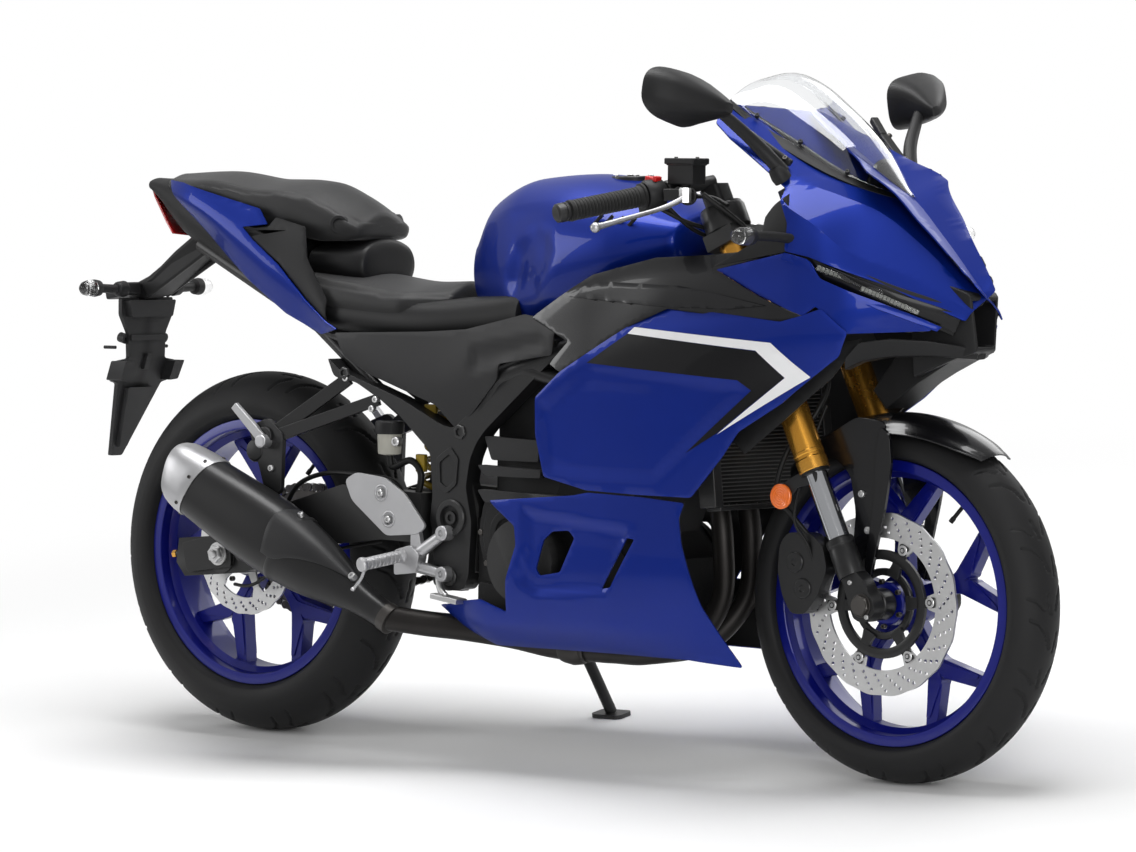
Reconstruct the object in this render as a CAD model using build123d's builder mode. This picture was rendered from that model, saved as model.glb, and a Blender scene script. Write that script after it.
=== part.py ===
from build123d import *
import os
from math import asin, atan2, cos, sin, sqrt, tan, radians

# Middleweight sport motorcycle, parked on its side stand.
# Everything is drawn upright: X forward, Y to the left, Z up, origin on the ground
# half way between the axles. The finished pieces are then leaned onto the stand.

os.makedirs("parts", exist_ok=True)

# stance and steering
wheelbase = 1380.0
front_axle_x = 690.0
lean = 10.0
rake = 25.0
trail = 95.0
rest_x = 62.494
rest_y = -188.691
run_gap = 0.3

# wheels
front_tyre_height = 61.0
rear_tyre_height = 82.0
front_crown = 56.0
rear_crown = 71.0
bead_radius = 218.3
flange_height = 13.7
flange_wall = 5.0
barrel_wall = 5.0
tyre_wall = 9.0
axle_radius = 9.5
hub_radius = 36.0
spoke_count = 5
spoke_joint_radius = 132.0
spoke_root_width = 34.0
spoke_arm_width = 17.0
spoke_fork = 19.0

# brakes
front_disc_radius = 149.0
front_disc_inner = 105.0
rear_disc_radius = 110.0
rear_disc_inner = 78.0
disc_wall = 4.5
front_disc_y = -61.5
rear_disc_y = -65.6
bobbin_radius = 7.0
bobbin_circle = 98.0
bobbin_count = 6

# chain drive
chain_pitch = 15.875
rear_teeth = 43
front_teeth = 14
chain_y = 84.0
sprocket_wall = 5.8
roller_width = 6.4
plate_wall = 2.0
plate_height = 15.0
roller_radius = 5.08
tooth_height = 3.4

# fork and steering head
leg_offset = 31.0
leg_y = 104.0
outer_radius = 26.0
stanchion_radius = 18.5
leg_top_z = 901.0
outer_bottom_z = 492.0
bottom_top_z = 386.0
yoke_wall = 26.0
top_yoke_z = 866.0
low_yoke_z = 684.0
stem_radius = 16.0
head_radius = 27.0
head_wall = 6.0

# main structure
pivot_x = -155.0
pivot_z = 390.0
front_sprocket_x = -86.0
front_sprocket_z = 392.0
swingarm_y = 106.0
swingarm_wall = 34.0
frame_tube = 17.0
panel_wall = 4.0

# derived places
lean_drop = 1.0 / cos(radians(lean))
rear_axle_x = front_axle_x - wheelbase
flange_radius = bead_radius + flange_height
front_tyre_radius = flange_radius + front_tyre_height
rear_tyre_radius = flange_radius + rear_tyre_height
front_axle_z = front_tyre_radius - front_crown + front_crown * lean_drop
rear_axle_z = rear_tyre_radius - rear_crown + rear_crown * lean_drop
rake_tan = tan(radians(rake))
rake_cos = cos(radians(rake))
head_foot_x = front_axle_x + trail
stance = Location((rest_x, rest_y, 0), (-lean, 0, 0))


def steer_x(height, offset=0.0):
    """X of the steering axis, or of a line parallel to it, at a height."""
    return head_foot_x - height * rake_tan + offset / rake_cos


def across(height, offset=0.0, y=0.0):
    """Plane square to the steering axis at a height, local X forward, local Y left."""
    return Plane(
        origin=(steer_x(height) + offset * rake_cos, y, height + offset * sin(radians(rake))),
        x_dir=(rake_cos, 0, sin(radians(rake))),
        z_dir=(-sin(radians(rake)), 0, rake_cos),
    )


def save(builder, label):
    builder.part.label = label
    export_step(builder.part.moved(stance), f"parts/{label}.step")


def cut_outline(points, mode=Mode.INTERSECT, low=-420, high=420):
    """Trim the piece in hand to a side-view outline."""
    with BuildSketch(Plane.XZ.offset(-high), mode=Mode.PRIVATE) as outline:
        with BuildLine():
            Polyline(*points, close=True)
        make_face()
    extrude(outline.sketch, amount=high - low, mode=mode)


def plate(points, y, wall, mode=Mode.ADD):
    """A flat plate with a side-view outline, from y towards the right."""
    with BuildSketch(Plane.XZ.offset(-y), mode=Mode.PRIVATE) as outline:
        with BuildLine():
            Polyline(*points, close=True)
        make_face()
    extrude(outline.sketch, amount=wall, mode=mode)


def bar(start, end, radius, mode=Mode.ADD):
    """A round bar between two points."""
    run = Vector(*end) - Vector(*start)
    with BuildSketch(Plane(origin=start, z_dir=run), mode=Mode.PRIVATE) as ring:
        Circle(radius)
    extrude(ring.sketch, amount=run.length, mode=mode)


def pipe(points, radius, bend, inner=0.0):
    """A bent tube through points, with bends of one radius."""
    with BuildLine(mode=Mode.PRIVATE) as route:
        FilletPolyline(*points, radius=bend)
    with BuildSketch(Plane(origin=route.line @ 0, z_dir=route.line % 0), mode=Mode.PRIVATE) as ring:
        Circle(radius)
        if inner:
            Circle(inner, mode=Mode.SUBTRACT)
    sweep(ring.sketch, path=route.line)


def skin(stations, wall=panel_wall, side=-1):
    """A ruled panel through cross sections (x, [(y, z), ...]), wall thick inwards."""
    sections = []
    for x, edge in stations:
        with BuildSketch(Plane.YZ.offset(x), mode=Mode.PRIVATE) as section:
            with BuildLine():
                outer = [(side * y, z) for y, z in edge]
                inner = [(side * (y - wall), z - wall * 0.25) for y, z in reversed(edge)]
                Polyline(*outer, *inner, close=True)
            make_face()
        sections.append(section.sketch.face())
    loft(sections, ruled=True)


def body(stations, ruled=False):
    """A closed body through cross sections: x, half width at foot, half width at the
    waist, waist height, foot height, half width at the shoulder, shoulder height, top."""
    sections = []
    for x, foot, waist, waist_z, foot_z, shoulder, shoulder_z, top in stations:
        with BuildSketch(Plane.YZ.offset(x), mode=Mode.PRIVATE) as section:
            with BuildLine():
                Line((-foot, foot_z), (foot, foot_z))
                ThreePointArc((foot, foot_z), (waist, waist_z), (shoulder, shoulder_z))
                ThreePointArc((shoulder, shoulder_z), (0, top), (-shoulder, shoulder_z))
                ThreePointArc((-shoulder, shoulder_z), (-waist, waist_z), (-foot, foot_z))
            make_face()
        sections.append(section.sketch.face())
    loft(sections, ruled=ruled)


# ---------------------------------------------------------------- wheels

wheel_table = [
    dict(name="front", x=front_axle_x, z=front_axle_z, radius=front_tyre_radius,
         crown=front_crown, half=54.0, bead=38.0, hub=52.0, spoke=12.0, phase=18.0),
    dict(name="rear", x=rear_axle_x, z=rear_axle_z, radius=rear_tyre_radius,
         crown=rear_crown, half=69.0, bead=51.0, hub=54.0, spoke=14.0, phase=20.0),
]


def wheel_plane(w, y=0.0, turn=0.0):
    """Plane across a wheel at y, facing right, local X turned up from the forward line."""
    along = (cos(radians(turn)), 0, sin(radians(turn)))
    return Plane(origin=(w["x"], y, w["z"]), x_dir=along, z_dir=(0, -1, 0))


def radial_plane(w):
    """Plane through a wheel's axis: local X is Y, local Y is the radius."""
    return Plane(origin=(w["x"], 0, w["z"]), x_dir=(0, 1, 0), z_dir=(1, 0, 0))


for w in wheel_table:
    axis = Axis((w["x"], 0, w["z"]), (0, 1, 0))
    centre = w["radius"] - w["crown"]
    shoulder = centre + sqrt(w["crown"] ** 2 - w["half"] ** 2)
    bead = w["bead"]
    half = w["half"]
    sidewall = flange_radius + (shoulder - flange_radius) * 0.35
    inner_side = flange_radius + (shoulder - flange_radius) * 0.6

    with BuildPart() as tyre:
        with BuildSketch(radial_plane(w)):
            with BuildLine():
                ThreePointArc((-half, shoulder), (0, w["radius"]), (half, shoulder))
                Polyline((half, shoulder), (half, sidewall), (bead, flange_radius),
                         (bead, bead_radius), (bead - tyre_wall - 2, bead_radius),
                         (half - tyre_wall, inner_side))
                ThreePointArc((half - tyre_wall, inner_side), (0, w["radius"] - tyre_wall),
                              (tyre_wall - half, inner_side))
                Polyline((tyre_wall - half, inner_side), (tyre_wall + 2 - bead, bead_radius),
                         (-bead, bead_radius), (-bead, flange_radius),
                         (-half, sidewall), (-half, shoulder))
            make_face()
        revolve(axis=axis)
    save(tyre, w["name"] + "_tyre")

    with BuildPart() as rim:
        side = [(bead + flange_wall, flange_radius), (bead, flange_radius), (bead, bead_radius),
                (bead - 14, bead_radius), (bead - 21, bead_radius - 11)]
        back = [(bead - 23, bead_radius - 11 - barrel_wall), (bead - 15, bead_radius - barrel_wall),
                (bead + flange_wall, bead_radius - barrel_wall)]
        with BuildSketch(radial_plane(w)):
            with BuildLine():
                Polyline(*side, *[(-y, r) for y, r in reversed(side)],
                         *[(-y, r) for y, r in reversed(back)], *back, close=True)
            make_face()
        revolve(axis=axis)
        with BuildSketch(wheel_plane(w, w["hub"])):
            Circle(hub_radius)
        extrude(amount=2 * w["hub"])
        reach = bead_radius - 14
        for copy in range(spoke_count):
            turn = w["phase"] + copy * 360 / spoke_count
            frame_plane = wheel_plane(w, w["spoke"], turn)
            with BuildSketch(frame_plane):
                with BuildLine():
                    Polyline((0, -spoke_root_width / 2), (spoke_joint_radius - 18, -spoke_arm_width * 0.8),
                             (spoke_joint_radius + 6, -spoke_arm_width * 0.8),
                             (spoke_joint_radius + 6, spoke_arm_width * 0.8),
                             (spoke_joint_radius - 18, spoke_arm_width * 0.8),
                             (0, spoke_root_width / 2), close=True)
                make_face()
            extrude(amount=2 * w["spoke"])
            for hand in (-1, 1):
                tip = radians(spoke_fork * hand)
                with BuildSketch(frame_plane):
                    with BuildLine():
                        root = spoke_joint_radius - 16
                        edge = spoke_arm_width / 2
                        Polyline((root, -hand * edge * 0.4), (root, hand * edge * 1.9),
                                 (reach * cos(tip) - edge * sin(tip) * hand,
                                  reach * sin(tip) + edge * hand),
                                 (reach * cos(tip) + edge * sin(tip) * hand,
                                  reach * sin(tip) - edge * hand), close=True)
                    make_face()
                extrude(amount=2 * w["spoke"])
        with BuildSketch(wheel_plane(w, w["hub"])):
            Circle(axle_radius + run_gap)
        extrude(amount=2 * w["hub"], mode=Mode.SUBTRACT)
    save(rim, w["name"] + "_rim")

front = wheel_table[0]
rear = wheel_table[1]

with BuildPart() as front_disc:
    with BuildSketch(wheel_plane(front, front_disc_y + disc_wall / 2)):
        Circle(front_disc_radius)
        Circle(front_disc_inner, mode=Mode.SUBTRACT)
        with PolarLocations(bobbin_circle, bobbin_count, start_angle=4):
            Circle(bobbin_radius + 6)
        with PolarLocations(bobbin_circle, bobbin_count, start_angle=4):
            Circle(bobbin_radius, mode=Mode.SUBTRACT)
    extrude(amount=disc_wall)
save(front_disc, "front_disc")

with BuildPart() as front_disc_carrier:
    inner_face = front_disc_y + disc_wall / 2
    with BuildSketch(wheel_plane(front, -front["hub"])):
        Circle(58)
        Circle(axle_radius + 8, mode=Mode.SUBTRACT)
        with PolarLocations(66, bobbin_count, start_angle=4):
            Rectangle(70, 17)
        with PolarLocations(0, bobbin_count, start_angle=4):
            Circle(axle_radius + 8, mode=Mode.SUBTRACT)
    extrude(amount=-front["hub"] - inner_face)
    with BuildSketch(wheel_plane(front, inner_face)):
        with PolarLocations(bobbin_circle, bobbin_count, start_angle=4):
            Circle(bobbin_radius)
    extrude(amount=disc_wall + 2)
save(front_disc_carrier, "front_disc_carrier")

with BuildPart() as rear_disc:
    with BuildSketch(wheel_plane(rear, rear_disc_y + disc_wall / 2)):
        Circle(rear_disc_radius)
        Circle(rear_disc_inner, mode=Mode.SUBTRACT)
        with PolarLocations(62, 5, start_angle=20):
            Rectangle(48, 16)
        Circle(44)
        Circle(axle_radius + 8, mode=Mode.SUBTRACT)
    extrude(amount=disc_wall)
    with BuildSketch(wheel_plane(rear, -rear["hub"])):
        Circle(40)
        Circle(axle_radius + 8, mode=Mode.SUBTRACT)
    extrude(amount=-rear["hub"] - rear_disc_y - disc_wall / 2)
save(rear_disc, "rear_disc")

rear_pitch = chain_pitch / (2 * sin(radians(180 / rear_teeth)))
front_pitch = chain_pitch / (2 * sin(radians(180 / front_teeth)))
with BuildPart() as rear_sprocket:
    with BuildSketch(wheel_plane(rear, chain_y + sprocket_wall / 2)):
        Circle(rear_pitch + tooth_height)
        with PolarLocations(rear_pitch, rear_teeth):
            Circle(roller_radius + 0.2, mode=Mode.SUBTRACT)
        Circle(72, mode=Mode.SUBTRACT)
        with PolarLocations(56, 5, start_angle=20):
            Rectangle(44, 20)
        Circle(46)
        Circle(axle_radius + 8, mode=Mode.SUBTRACT)
    extrude(amount=sprocket_wall)
    with BuildSketch(wheel_plane(rear, chain_y - sprocket_wall / 2)):
        Circle(52)
        Circle(axle_radius + 8, mode=Mode.SUBTRACT)
    extrude(amount=chain_y - sprocket_wall / 2 - rear["hub"])
save(rear_sprocket, "rear_sprocket")

# ---------------------------------------------------------------- steering body

with BuildPart() as fork_yokes:
    with BuildSketch(across(top_yoke_z)):
        with BuildLine():
            Polyline((-24, -38), (leg_offset - 30, -leg_y - 36), (leg_offset + 30, -leg_y - 34),
                     (leg_offset + 18, 0), (leg_offset + 30, leg_y + 34),
                     (leg_offset - 30, leg_y + 36), (-24, 38), close=True)
        make_face()
    extrude(amount=yoke_wall / 2, both=True)
    with BuildSketch(across(low_yoke_z)):
        with BuildLine():
            Polyline((-28, -40), (leg_offset - 32, -leg_y - 36), (leg_offset + 32, -leg_y - 34),
                     (leg_offset + 20, 0), (leg_offset + 32, leg_y + 34),
                     (leg_offset - 32, leg_y + 36), (-28, 40), close=True)
        make_face()
    extrude(amount=yoke_wall * 0.65, both=True)
    with BuildSketch(across(low_yoke_z - 18)):
        Circle(stem_radius)
    extrude(amount=(top_yoke_z - low_yoke_z + 30) / rake_cos)
    for hand in (-1, 1):
        with BuildSketch(across(low_yoke_z - 60, leg_offset, hand * leg_y)):
            Circle(outer_radius)
        extrude(amount=400, mode=Mode.SUBTRACT)
    with BuildSketch(across(low_yoke_z - 60)):
        Circle(stem_radius - 5)
    extrude(amount=90 / rake_cos, mode=Mode.SUBTRACT)
save(fork_yokes, "fork_yokes")

with BuildPart() as fork_outers:
    for hand in (-1, 1):
        with BuildSketch(across(outer_bottom_z, leg_offset, hand * leg_y)):
            Circle(outer_radius)
        extrude(amount=(leg_top_z - outer_bottom_z) / rake_cos)
        with BuildSketch(across(outer_bottom_z, leg_offset, hand * leg_y)):
            Circle(stanchion_radius)
        extrude(amount=(leg_top_z - 60 - outer_bottom_z) / rake_cos, mode=Mode.SUBTRACT)
save(fork_outers, "fork_outers")

axle_clamp = 22.0
caliper_seat = [(592, 392), (602, 345)]
with BuildPart() as fork_stanchions:
    for hand in (-1, 1):
        with BuildSketch(across(front_axle_z + 40, leg_offset, hand * leg_y)):
            Circle(stanchion_radius)
        extrude(amount=(leg_top_z - front_axle_z - 100) / rake_cos)
save(fork_stanchions, "fork_stanchions")

with BuildPart() as fork_bottoms:
    for hand in (-1, 1):
        with BuildSketch(across(front_axle_z + 30, leg_offset, hand * leg_y)):
            Circle(stanchion_radius + 4.5)
        extrude(amount=(bottom_top_z - front_axle_z - 30) / rake_cos)
        with BuildSketch(Plane.XZ.offset(-hand * leg_y)):
            with Locations((front_axle_x, front_axle_z)):
                Circle(axle_clamp + 3)
        extrude(amount=15, both=True)
        with BuildSketch(across(front_axle_z + 2, leg_offset, hand * leg_y)):
            RectangleRounded(40, 30, 6)
        extrude(amount=42)
        if hand < 0:
            plate([caliper_seat[0], (640, 400), (648, 372), caliper_seat[1]], -84, 16)
        with BuildSketch(across(front_axle_z + 40, leg_offset, hand * leg_y)):
            Circle(stanchion_radius)
        extrude(amount=300, mode=Mode.SUBTRACT)
        with BuildSketch(Plane.XZ.offset(-hand * leg_y)):
            with Locations((front_axle_x, front_axle_z)):
                Circle(axle_radius)
        extrude(amount=30, both=True, mode=Mode.SUBTRACT)
save(fork_bottoms, "fork_bottoms")

with BuildPart() as front_axle:
    with BuildSketch(Plane.XZ.offset(-leg_y - 20)):
        with Locations((front_axle_x, front_axle_z)):
            Circle(axle_radius)
    extrude(amount=2 * leg_y + 40)
    for hand in (-1, 1):
        inner = front["hub"] + (10 + disc_wall if hand < 0 else 0) + run_gap
        with BuildSketch(Plane.XZ.offset(-hand * inner)):
            with Locations((front_axle_x, front_axle_z)):
                Circle(axle_radius + 6)
        extrude(amount=-hand * (leg_y - 15 - inner))
        with BuildSketch(Plane.XZ.offset(-hand * (leg_y + 15))):
            with Locations((front_axle_x, front_axle_z)):
                Circle(axle_radius + 5)
        extrude(amount=-hand * 8)
save(front_axle, "front_axle")

grip_in = (316.0, 220.0, 946.0)
grip_out = (262.0, 345.0, 921.0)
foot_share = 0.96
bar_foot = [a + (a - b) * foot_share for a, b in zip(grip_in, grip_out)]
riser = 42.0
grip_radius = 17.0
bar_radius = 11.0

with BuildPart() as handlebars:
    for hand in (-1, 1):
        foot = (bar_foot[0], hand * bar_foot[1], bar_foot[2])
        tip = (grip_out[0], hand * grip_out[1], grip_out[2])
        bar(foot, tip, bar_radius)
        with BuildSketch(across(top_yoke_z, leg_offset, hand * leg_y).offset(yoke_wall / 2)):
            Circle(outer_radius + 9)
        extrude(amount=riser)
        with BuildSketch(across(top_yoke_z, leg_offset, hand * leg_y).offset(yoke_wall / 2)):
            Circle(outer_radius)
        extrude(amount=riser - 4, mode=Mode.SUBTRACT)
        with BuildSketch(across(top_yoke_z, leg_offset, hand * leg_y).offset(yoke_wall / 2 + riser)):
            RectangleRounded(40, 40, 9)
        extrude(amount=34)
save(handlebars, "handlebars")

with BuildPart() as grips:
    for hand in (-1, 1):
        inner = Vector(grip_in[0], hand * grip_in[1], grip_in[2])
        tip = Vector(grip_out[0], hand * grip_out[1], grip_out[2])
        run = tip - inner
        with BuildSketch(Plane(origin=inner, z_dir=run)):
            Circle(grip_radius)
            Circle(bar_radius, mode=Mode.SUBTRACT)
        extrude(amount=run.length)
        with BuildSketch(Plane(origin=tip, z_dir=run)):
            Circle(grip_radius - 1)
        extrude(amount=24)
        with BuildSketch(Plane(origin=inner, z_dir=run)):
            Circle(grip_radius + 2)
            Circle(bar_radius, mode=Mode.SUBTRACT)
        extrude(amount=5)
save(grips, "grips")

with BuildPart() as levers:
    for hand in (-1, 1):
        pipe([(386, hand * 203, 948), (364, hand * 240, 926), (322, hand * 344, 896)], 5.5, 60)
        bar((322, hand * 344, 896), (321, hand * 346, 895.5), 8)
        inner = Vector(grip_in[0], hand * grip_in[1], grip_in[2])
        tip = Vector(grip_out[0], hand * grip_out[1], grip_out[2])
        run = (tip - inner).normalized()
        back = inner - run * 42
        with BuildSketch(Plane(origin=back, x_dir=(0, 0, 1), z_dir=run)):
            Circle(bar_radius + 9)
            with Locations((0, hand * 33)):
                RectangleRounded(20, 66, 6)
            Circle(bar_radius, mode=Mode.SUBTRACT)
        extrude(amount=40)
save(levers, "levers")

cup_at = (373.0, -178.0, 968.0)
with BuildPart() as front_reservoir:
    with BuildSketch(Plane(origin=cup_at, z_dir=(0, 0, 1))):
        RectangleRounded(50, 34, 8)
    extrude(amount=30)
    with BuildSketch(Plane(origin=(cup_at[0], cup_at[1], cup_at[2] + 30), z_dir=(0, 0, 1))):
        RectangleRounded(60, 42, 8)
    extrude(amount=10)
    bar((cup_at[0], cup_at[1] - 8, cup_at[2] + 5), (cup_at[0] - 8, cup_at[1] - 20, cup_at[2] - 12), 6)
    add(levers.part, mode=Mode.SUBTRACT)
save(front_reservoir, "front_reservoir")

guard_gap = 12.0
guard_wall = 3.5
guard_half = 64.0
guard_start = 53.0
guard_sweep = 81.0
guard_drop = 30.0
guard_inner = front_tyre_radius + guard_gap
with BuildPart() as front_mudguard:
    tilt = radians(guard_start)
    with BuildSketch(Plane(origin=(front_axle_x, 0, front_axle_z), x_dir=(0, 1, 0),
                           z_dir=(sin(tilt), 0, -cos(tilt)))):
        with BuildLine():
            ThreePointArc((-guard_half, guard_inner - guard_drop), (0, guard_inner),
                          (guard_half, guard_inner - guard_drop))
            Line((guard_half, guard_inner - guard_drop), (guard_half + guard_wall, guard_inner - guard_drop))
            ThreePointArc((guard_half + guard_wall, guard_inner - guard_drop),
                          (0, guard_inner + guard_wall),
                          (-guard_half - guard_wall, guard_inner - guard_drop))
            Line((-guard_half - guard_wall, guard_inner - guard_drop), (-guard_half, guard_inner - guard_drop))
        make_face()
    revolve(axis=Axis((front_axle_x, 0, front_axle_z), (0, -1, 0)), revolution_arc=guard_sweep)
    for hand in (-1, 1):
        plate([(552, 512), (556, 552), (636, 598), (706, 588), (684, 470), (668, 380), (654, 336),
               (630, 341), (638, 400), (646, 480), (612, 520)],
              hand * (guard_half + 5) + (0 if hand < 0 else guard_wall + 2), guard_wall + 2)
        bar((650, hand * (guard_half - 8), 588), (650, hand * (guard_half + 8), 588), 10)
        bar((650, hand * (guard_half + 6), 362), (650, hand * (leg_y - stanchion_radius - 4), 362), 7)
    add(fork_bottoms.part, mode=Mode.SUBTRACT)
save(front_mudguard, "front_mudguard")

with BuildPart() as front_caliper:
    plate([(505, 385), caliper_seat[0], caliper_seat[1], (575, 290), (552, 268), (528, 282), (508, 330)],
          front_disc_y - disc_wall / 2 - 2, 34)
    plate([(505, 385), caliper_seat[0], caliper_seat[1], (575, 290), (552, 268), (528, 282), (508, 330)],
          front_disc_y + disc_wall / 2 + 14, 12)
    plate([(505, 385), (550, 389), (540, 420), (500, 416)], front_disc_y + disc_wall / 2 + 14, 52)
save(front_caliper, "front_caliper")

# ---------------------------------------------------------------- chassis body

stand_hinge = (-170.0, 141.0, 285.0)
stand_foot = (-120.0, 246.0)
stand_fold = (-1.0, 0.1, -0.06)
foot_wall = 7.0
stand_tube = 10.0
foot_z = stand_foot[1] * tan(radians(lean))
stand_run = Vector(*stand_foot, foot_z) - Vector(*stand_hinge)
stand_axis = stand_run.cross(Vector(*stand_fold)).normalized()
head_top_z = top_yoke_z - 22.0
head_low_z = low_yoke_z + 26.0
with BuildPart() as frame:
    with BuildSketch(across(head_low_z)):
        Circle(head_radius)
    extrude(amount=(head_top_z - head_low_z) / rake_cos)
    for hand in (-1, 1):
        pipe([(steer_x(815), hand * 14, 815), (240, hand * 118, 745), (-60, hand * 128, 640),
              (-160, hand * 114, 500), (-162, hand * 112, 436)], frame_tube, 40)
        pipe([(steer_x(745), hand * 14, 745), (270, hand * 112, 690), (150, hand * 122, 620),
              (-10, hand * 128, 655)], frame_tube * 0.8, 40)
        plate([(-215, 450), (-215, 375), (-225, 320), (-200, 276), (-150, 276), (-118, 310),
               (-112, 420), (-130, 470), (-190, 480)], hand * 112 + 10, 20)
        pipe([(-60, hand * 122, 655), (-300, hand * 114, 672), (-480, hand * 92, 706),
              (-800, hand * 66, 850)], 13, 80)
        pipe([(-170, hand * 118, 500), (-330, hand * 112, 600), (-500, hand * 90, 712)], 11, 80)
        bar((-440, hand * 92, 698), (-440, hand * 92, 726.9), 8)
        bar((-300, hand * 100, 676), (-300, hand * 100, 720.8), 8)
        bar((-760, hand * 46, 832), (-760, hand * 46, 876), 8)
    bar((-165, -112, 300), (-165, 112, 300), 16)
    bar((-480, -92, 706), (-480, 92, 706), 12)
    bar((-760, -70, 832), (-760, 70, 832), 12)
    bar((pivot_x, -122, pivot_z), (pivot_x, 122, pivot_z), 13)
    bar((-258, -116, 664), (-258, 116, 664), 12)
    bar((steer_x(775) + 20, 0, 775), (575, 0, 802), 10)
    bar((575, 0, 802), (598, 0, 868), 10)
    bar((598, 0, 868), (572, 0, 908), 8)
    with BuildSketch(across(head_low_z - 5)):
        Circle(stem_radius + run_gap)
    extrude(amount=400, mode=Mode.SUBTRACT)
    pin = Vector(*stand_hinge)
    bar(tuple(pin - stand_axis * 26), tuple(pin + stand_axis * 15), 6.3 - run_gap)
    bar(tuple(pin - stand_axis * 26), tuple(pin - stand_axis * (12 + run_gap)), 16)
save(frame, "frame")

axle_end = [(-100, 338), (-106, 296), (-86, 272), (50, 284)]
axle_top = [(151, 409), (40, 350)]
arm_outline = [(rear_axle_x + x, z) for x, z in axle_end]
arm_outline += [(-437, 343), (-320, 356), (-232, 354), (-232, 438), (-411, 446)]
arm_outline += [(rear_axle_x + x, z) for x, z in axle_top]
pivot_half = 100.0
arm_outer = 131.0
bobbin_x = rear_axle_x + 48
bobbin_z = 316.0
bobbin_face = 137.0
bobbin_depth = 24.0
bobbin_thread = 3.4
with BuildPart() as swingarm:
    for hand in (-1, 1):
        plate(arm_outline, arm_outer if hand > 0 else swingarm_wall - arm_outer, swingarm_wall)
        plate([(-260, 366), (-160, 370), (-160, 410), (-260, 412)],
              pivot_half if hand > 0 else -60, pivot_half - 60)
        bar((rear_axle_x, hand * (arm_outer + 2), rear_axle_z),
            (rear_axle_x, hand * (arm_outer - swingarm_wall - 3), rear_axle_z), 34)
    with BuildSketch(Plane.XZ.offset(-arm_outer)):
        with BuildLine():
            Polyline((-350, 366), (-240, 362), (-240, 412), (-350, 412), close=True)
        make_face()
    extrude(amount=2 * arm_outer)
    bar((pivot_x, -pivot_half, pivot_z), (pivot_x, pivot_half, pivot_z), 21)
    for hand in (-1, 1):
        bar((bobbin_x, hand * arm_outer, bobbin_z), (bobbin_x, hand * bobbin_face, bobbin_z), 11)
        bar((bobbin_x, hand * (bobbin_face - bobbin_depth), bobbin_z),
            (bobbin_x, hand * (bobbin_face + 5), bobbin_z), bobbin_thread, Mode.SUBTRACT)
    bar((pivot_x, -130, pivot_z), (pivot_x, 130, pivot_z), 13, Mode.SUBTRACT)
    bar((rear_axle_x, -200, rear_axle_z), (rear_axle_x, 200, rear_axle_z), axle_radius, Mode.SUBTRACT)
save(swingarm, "swingarm")

with BuildPart() as rear_axle:
    bar((rear_axle_x, -150, rear_axle_z), (rear_axle_x, 150, rear_axle_z), axle_radius)
    for hand in (-1, 1):
        inner = (rear["hub"] + 12 + disc_wall) if hand < 0 else chain_y + sprocket_wall / 2
        outer = arm_outer - swingarm_wall - 3
        bar((rear_axle_x, hand * (inner + run_gap), rear_axle_z), (rear_axle_x, hand * outer, rear_axle_z),
            axle_radius + 5)
        bar((rear_axle_x, hand * (arm_outer + 2), rear_axle_z),
            (rear_axle_x, hand * (arm_outer + 15), rear_axle_z), 15)
save(rear_axle, "rear_axle")

with BuildPart() as engine:
    with BuildSketch(Plane.XZ.offset(-125)):
        with BuildLine():
            Polyline((-108, 250), (-60, 212), (170, 208), (215, 250), (215, 340), (150, 420), (60, 440),
                     (-60, 425), (-108, 400), close=True)
        make_face()
    extrude(amount=250)
    with BuildSketch(Plane(origin=(105, 0, 400), x_dir=(0, 1, 0), z_dir=(0.42, 0, 0.91))):
        Rectangle(210, 150)
    extrude(amount=230)
    with BuildSketch(Plane.XZ.offset(125)):
        with Locations((10, 335)):
            Circle(78)
    extrude(amount=36, taper=12)
    with BuildSketch(Plane.XZ.offset(-125)):
        with Locations((130, 320)):
            Circle(78)
    extrude(amount=-36, taper=12)
    with BuildSketch(Plane.XY.offset(210)):
        with Locations((50, 20)):
            Rectangle(190, 96)
    extrude(amount=-46, taper=8)
    with BuildSketch(Plane.XZ.offset(-130)):
        with Locations((front_sprocket_x - 10, front_sprocket_z)):
            Rectangle(130, 130)
    extrude(amount=60, mode=Mode.SUBTRACT)
    bar((front_sprocket_x, 60, front_sprocket_z), (front_sprocket_x, chain_y + 8, front_sprocket_z), 10)
    for hand in (-1, 1):
        bar((150, hand * 96, 604), (150, hand * 122, 616), 9)
    add(frame.part, mode=Mode.SUBTRACT)
save(engine, "engine")

muffler_foot = Vector(-266, -176, 228)
muffler_tip = Vector(-712, -206, 458)
muffler_run = muffler_tip - muffler_foot
muffler_dir = muffler_run.normalized()
with BuildPart() as exhaust_pipes:
    for y in (-38, 38):
        pipe([(240.4, y, 513.6), (326, y, 474), (352, y, 270), (225, y * 0.4 - 62, 186),
              (60, -84, 186)], 18, 45)
    join = muffler_foot - muffler_dir * 76
    pipe([(90, -84, 186), (-90, -86, 182), (join.X, join.Y, join.Z), tuple(muffler_foot)], 23, 60)
save(exhaust_pipes, "exhaust_pipes")

with BuildPart() as muffler:
    rings = []
    for share, wide, tall in ((0.0, 44, 44), (0.16, 52, 60), (0.42, 96, 128), (0.60, 106, 130), (0.9, 100, 112)):
        with BuildSketch(Plane(origin=muffler_foot + muffler_run * share, x_dir=(0, 1, 0),
                               z_dir=muffler_dir), mode=Mode.PRIVATE) as ring:
            RectangleRounded(wide, tall, min(wide, tall) * 0.36)
        rings.append(ring.sketch.face())
    loft(rings, ruled=True)
save(muffler, "muffler")

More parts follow.
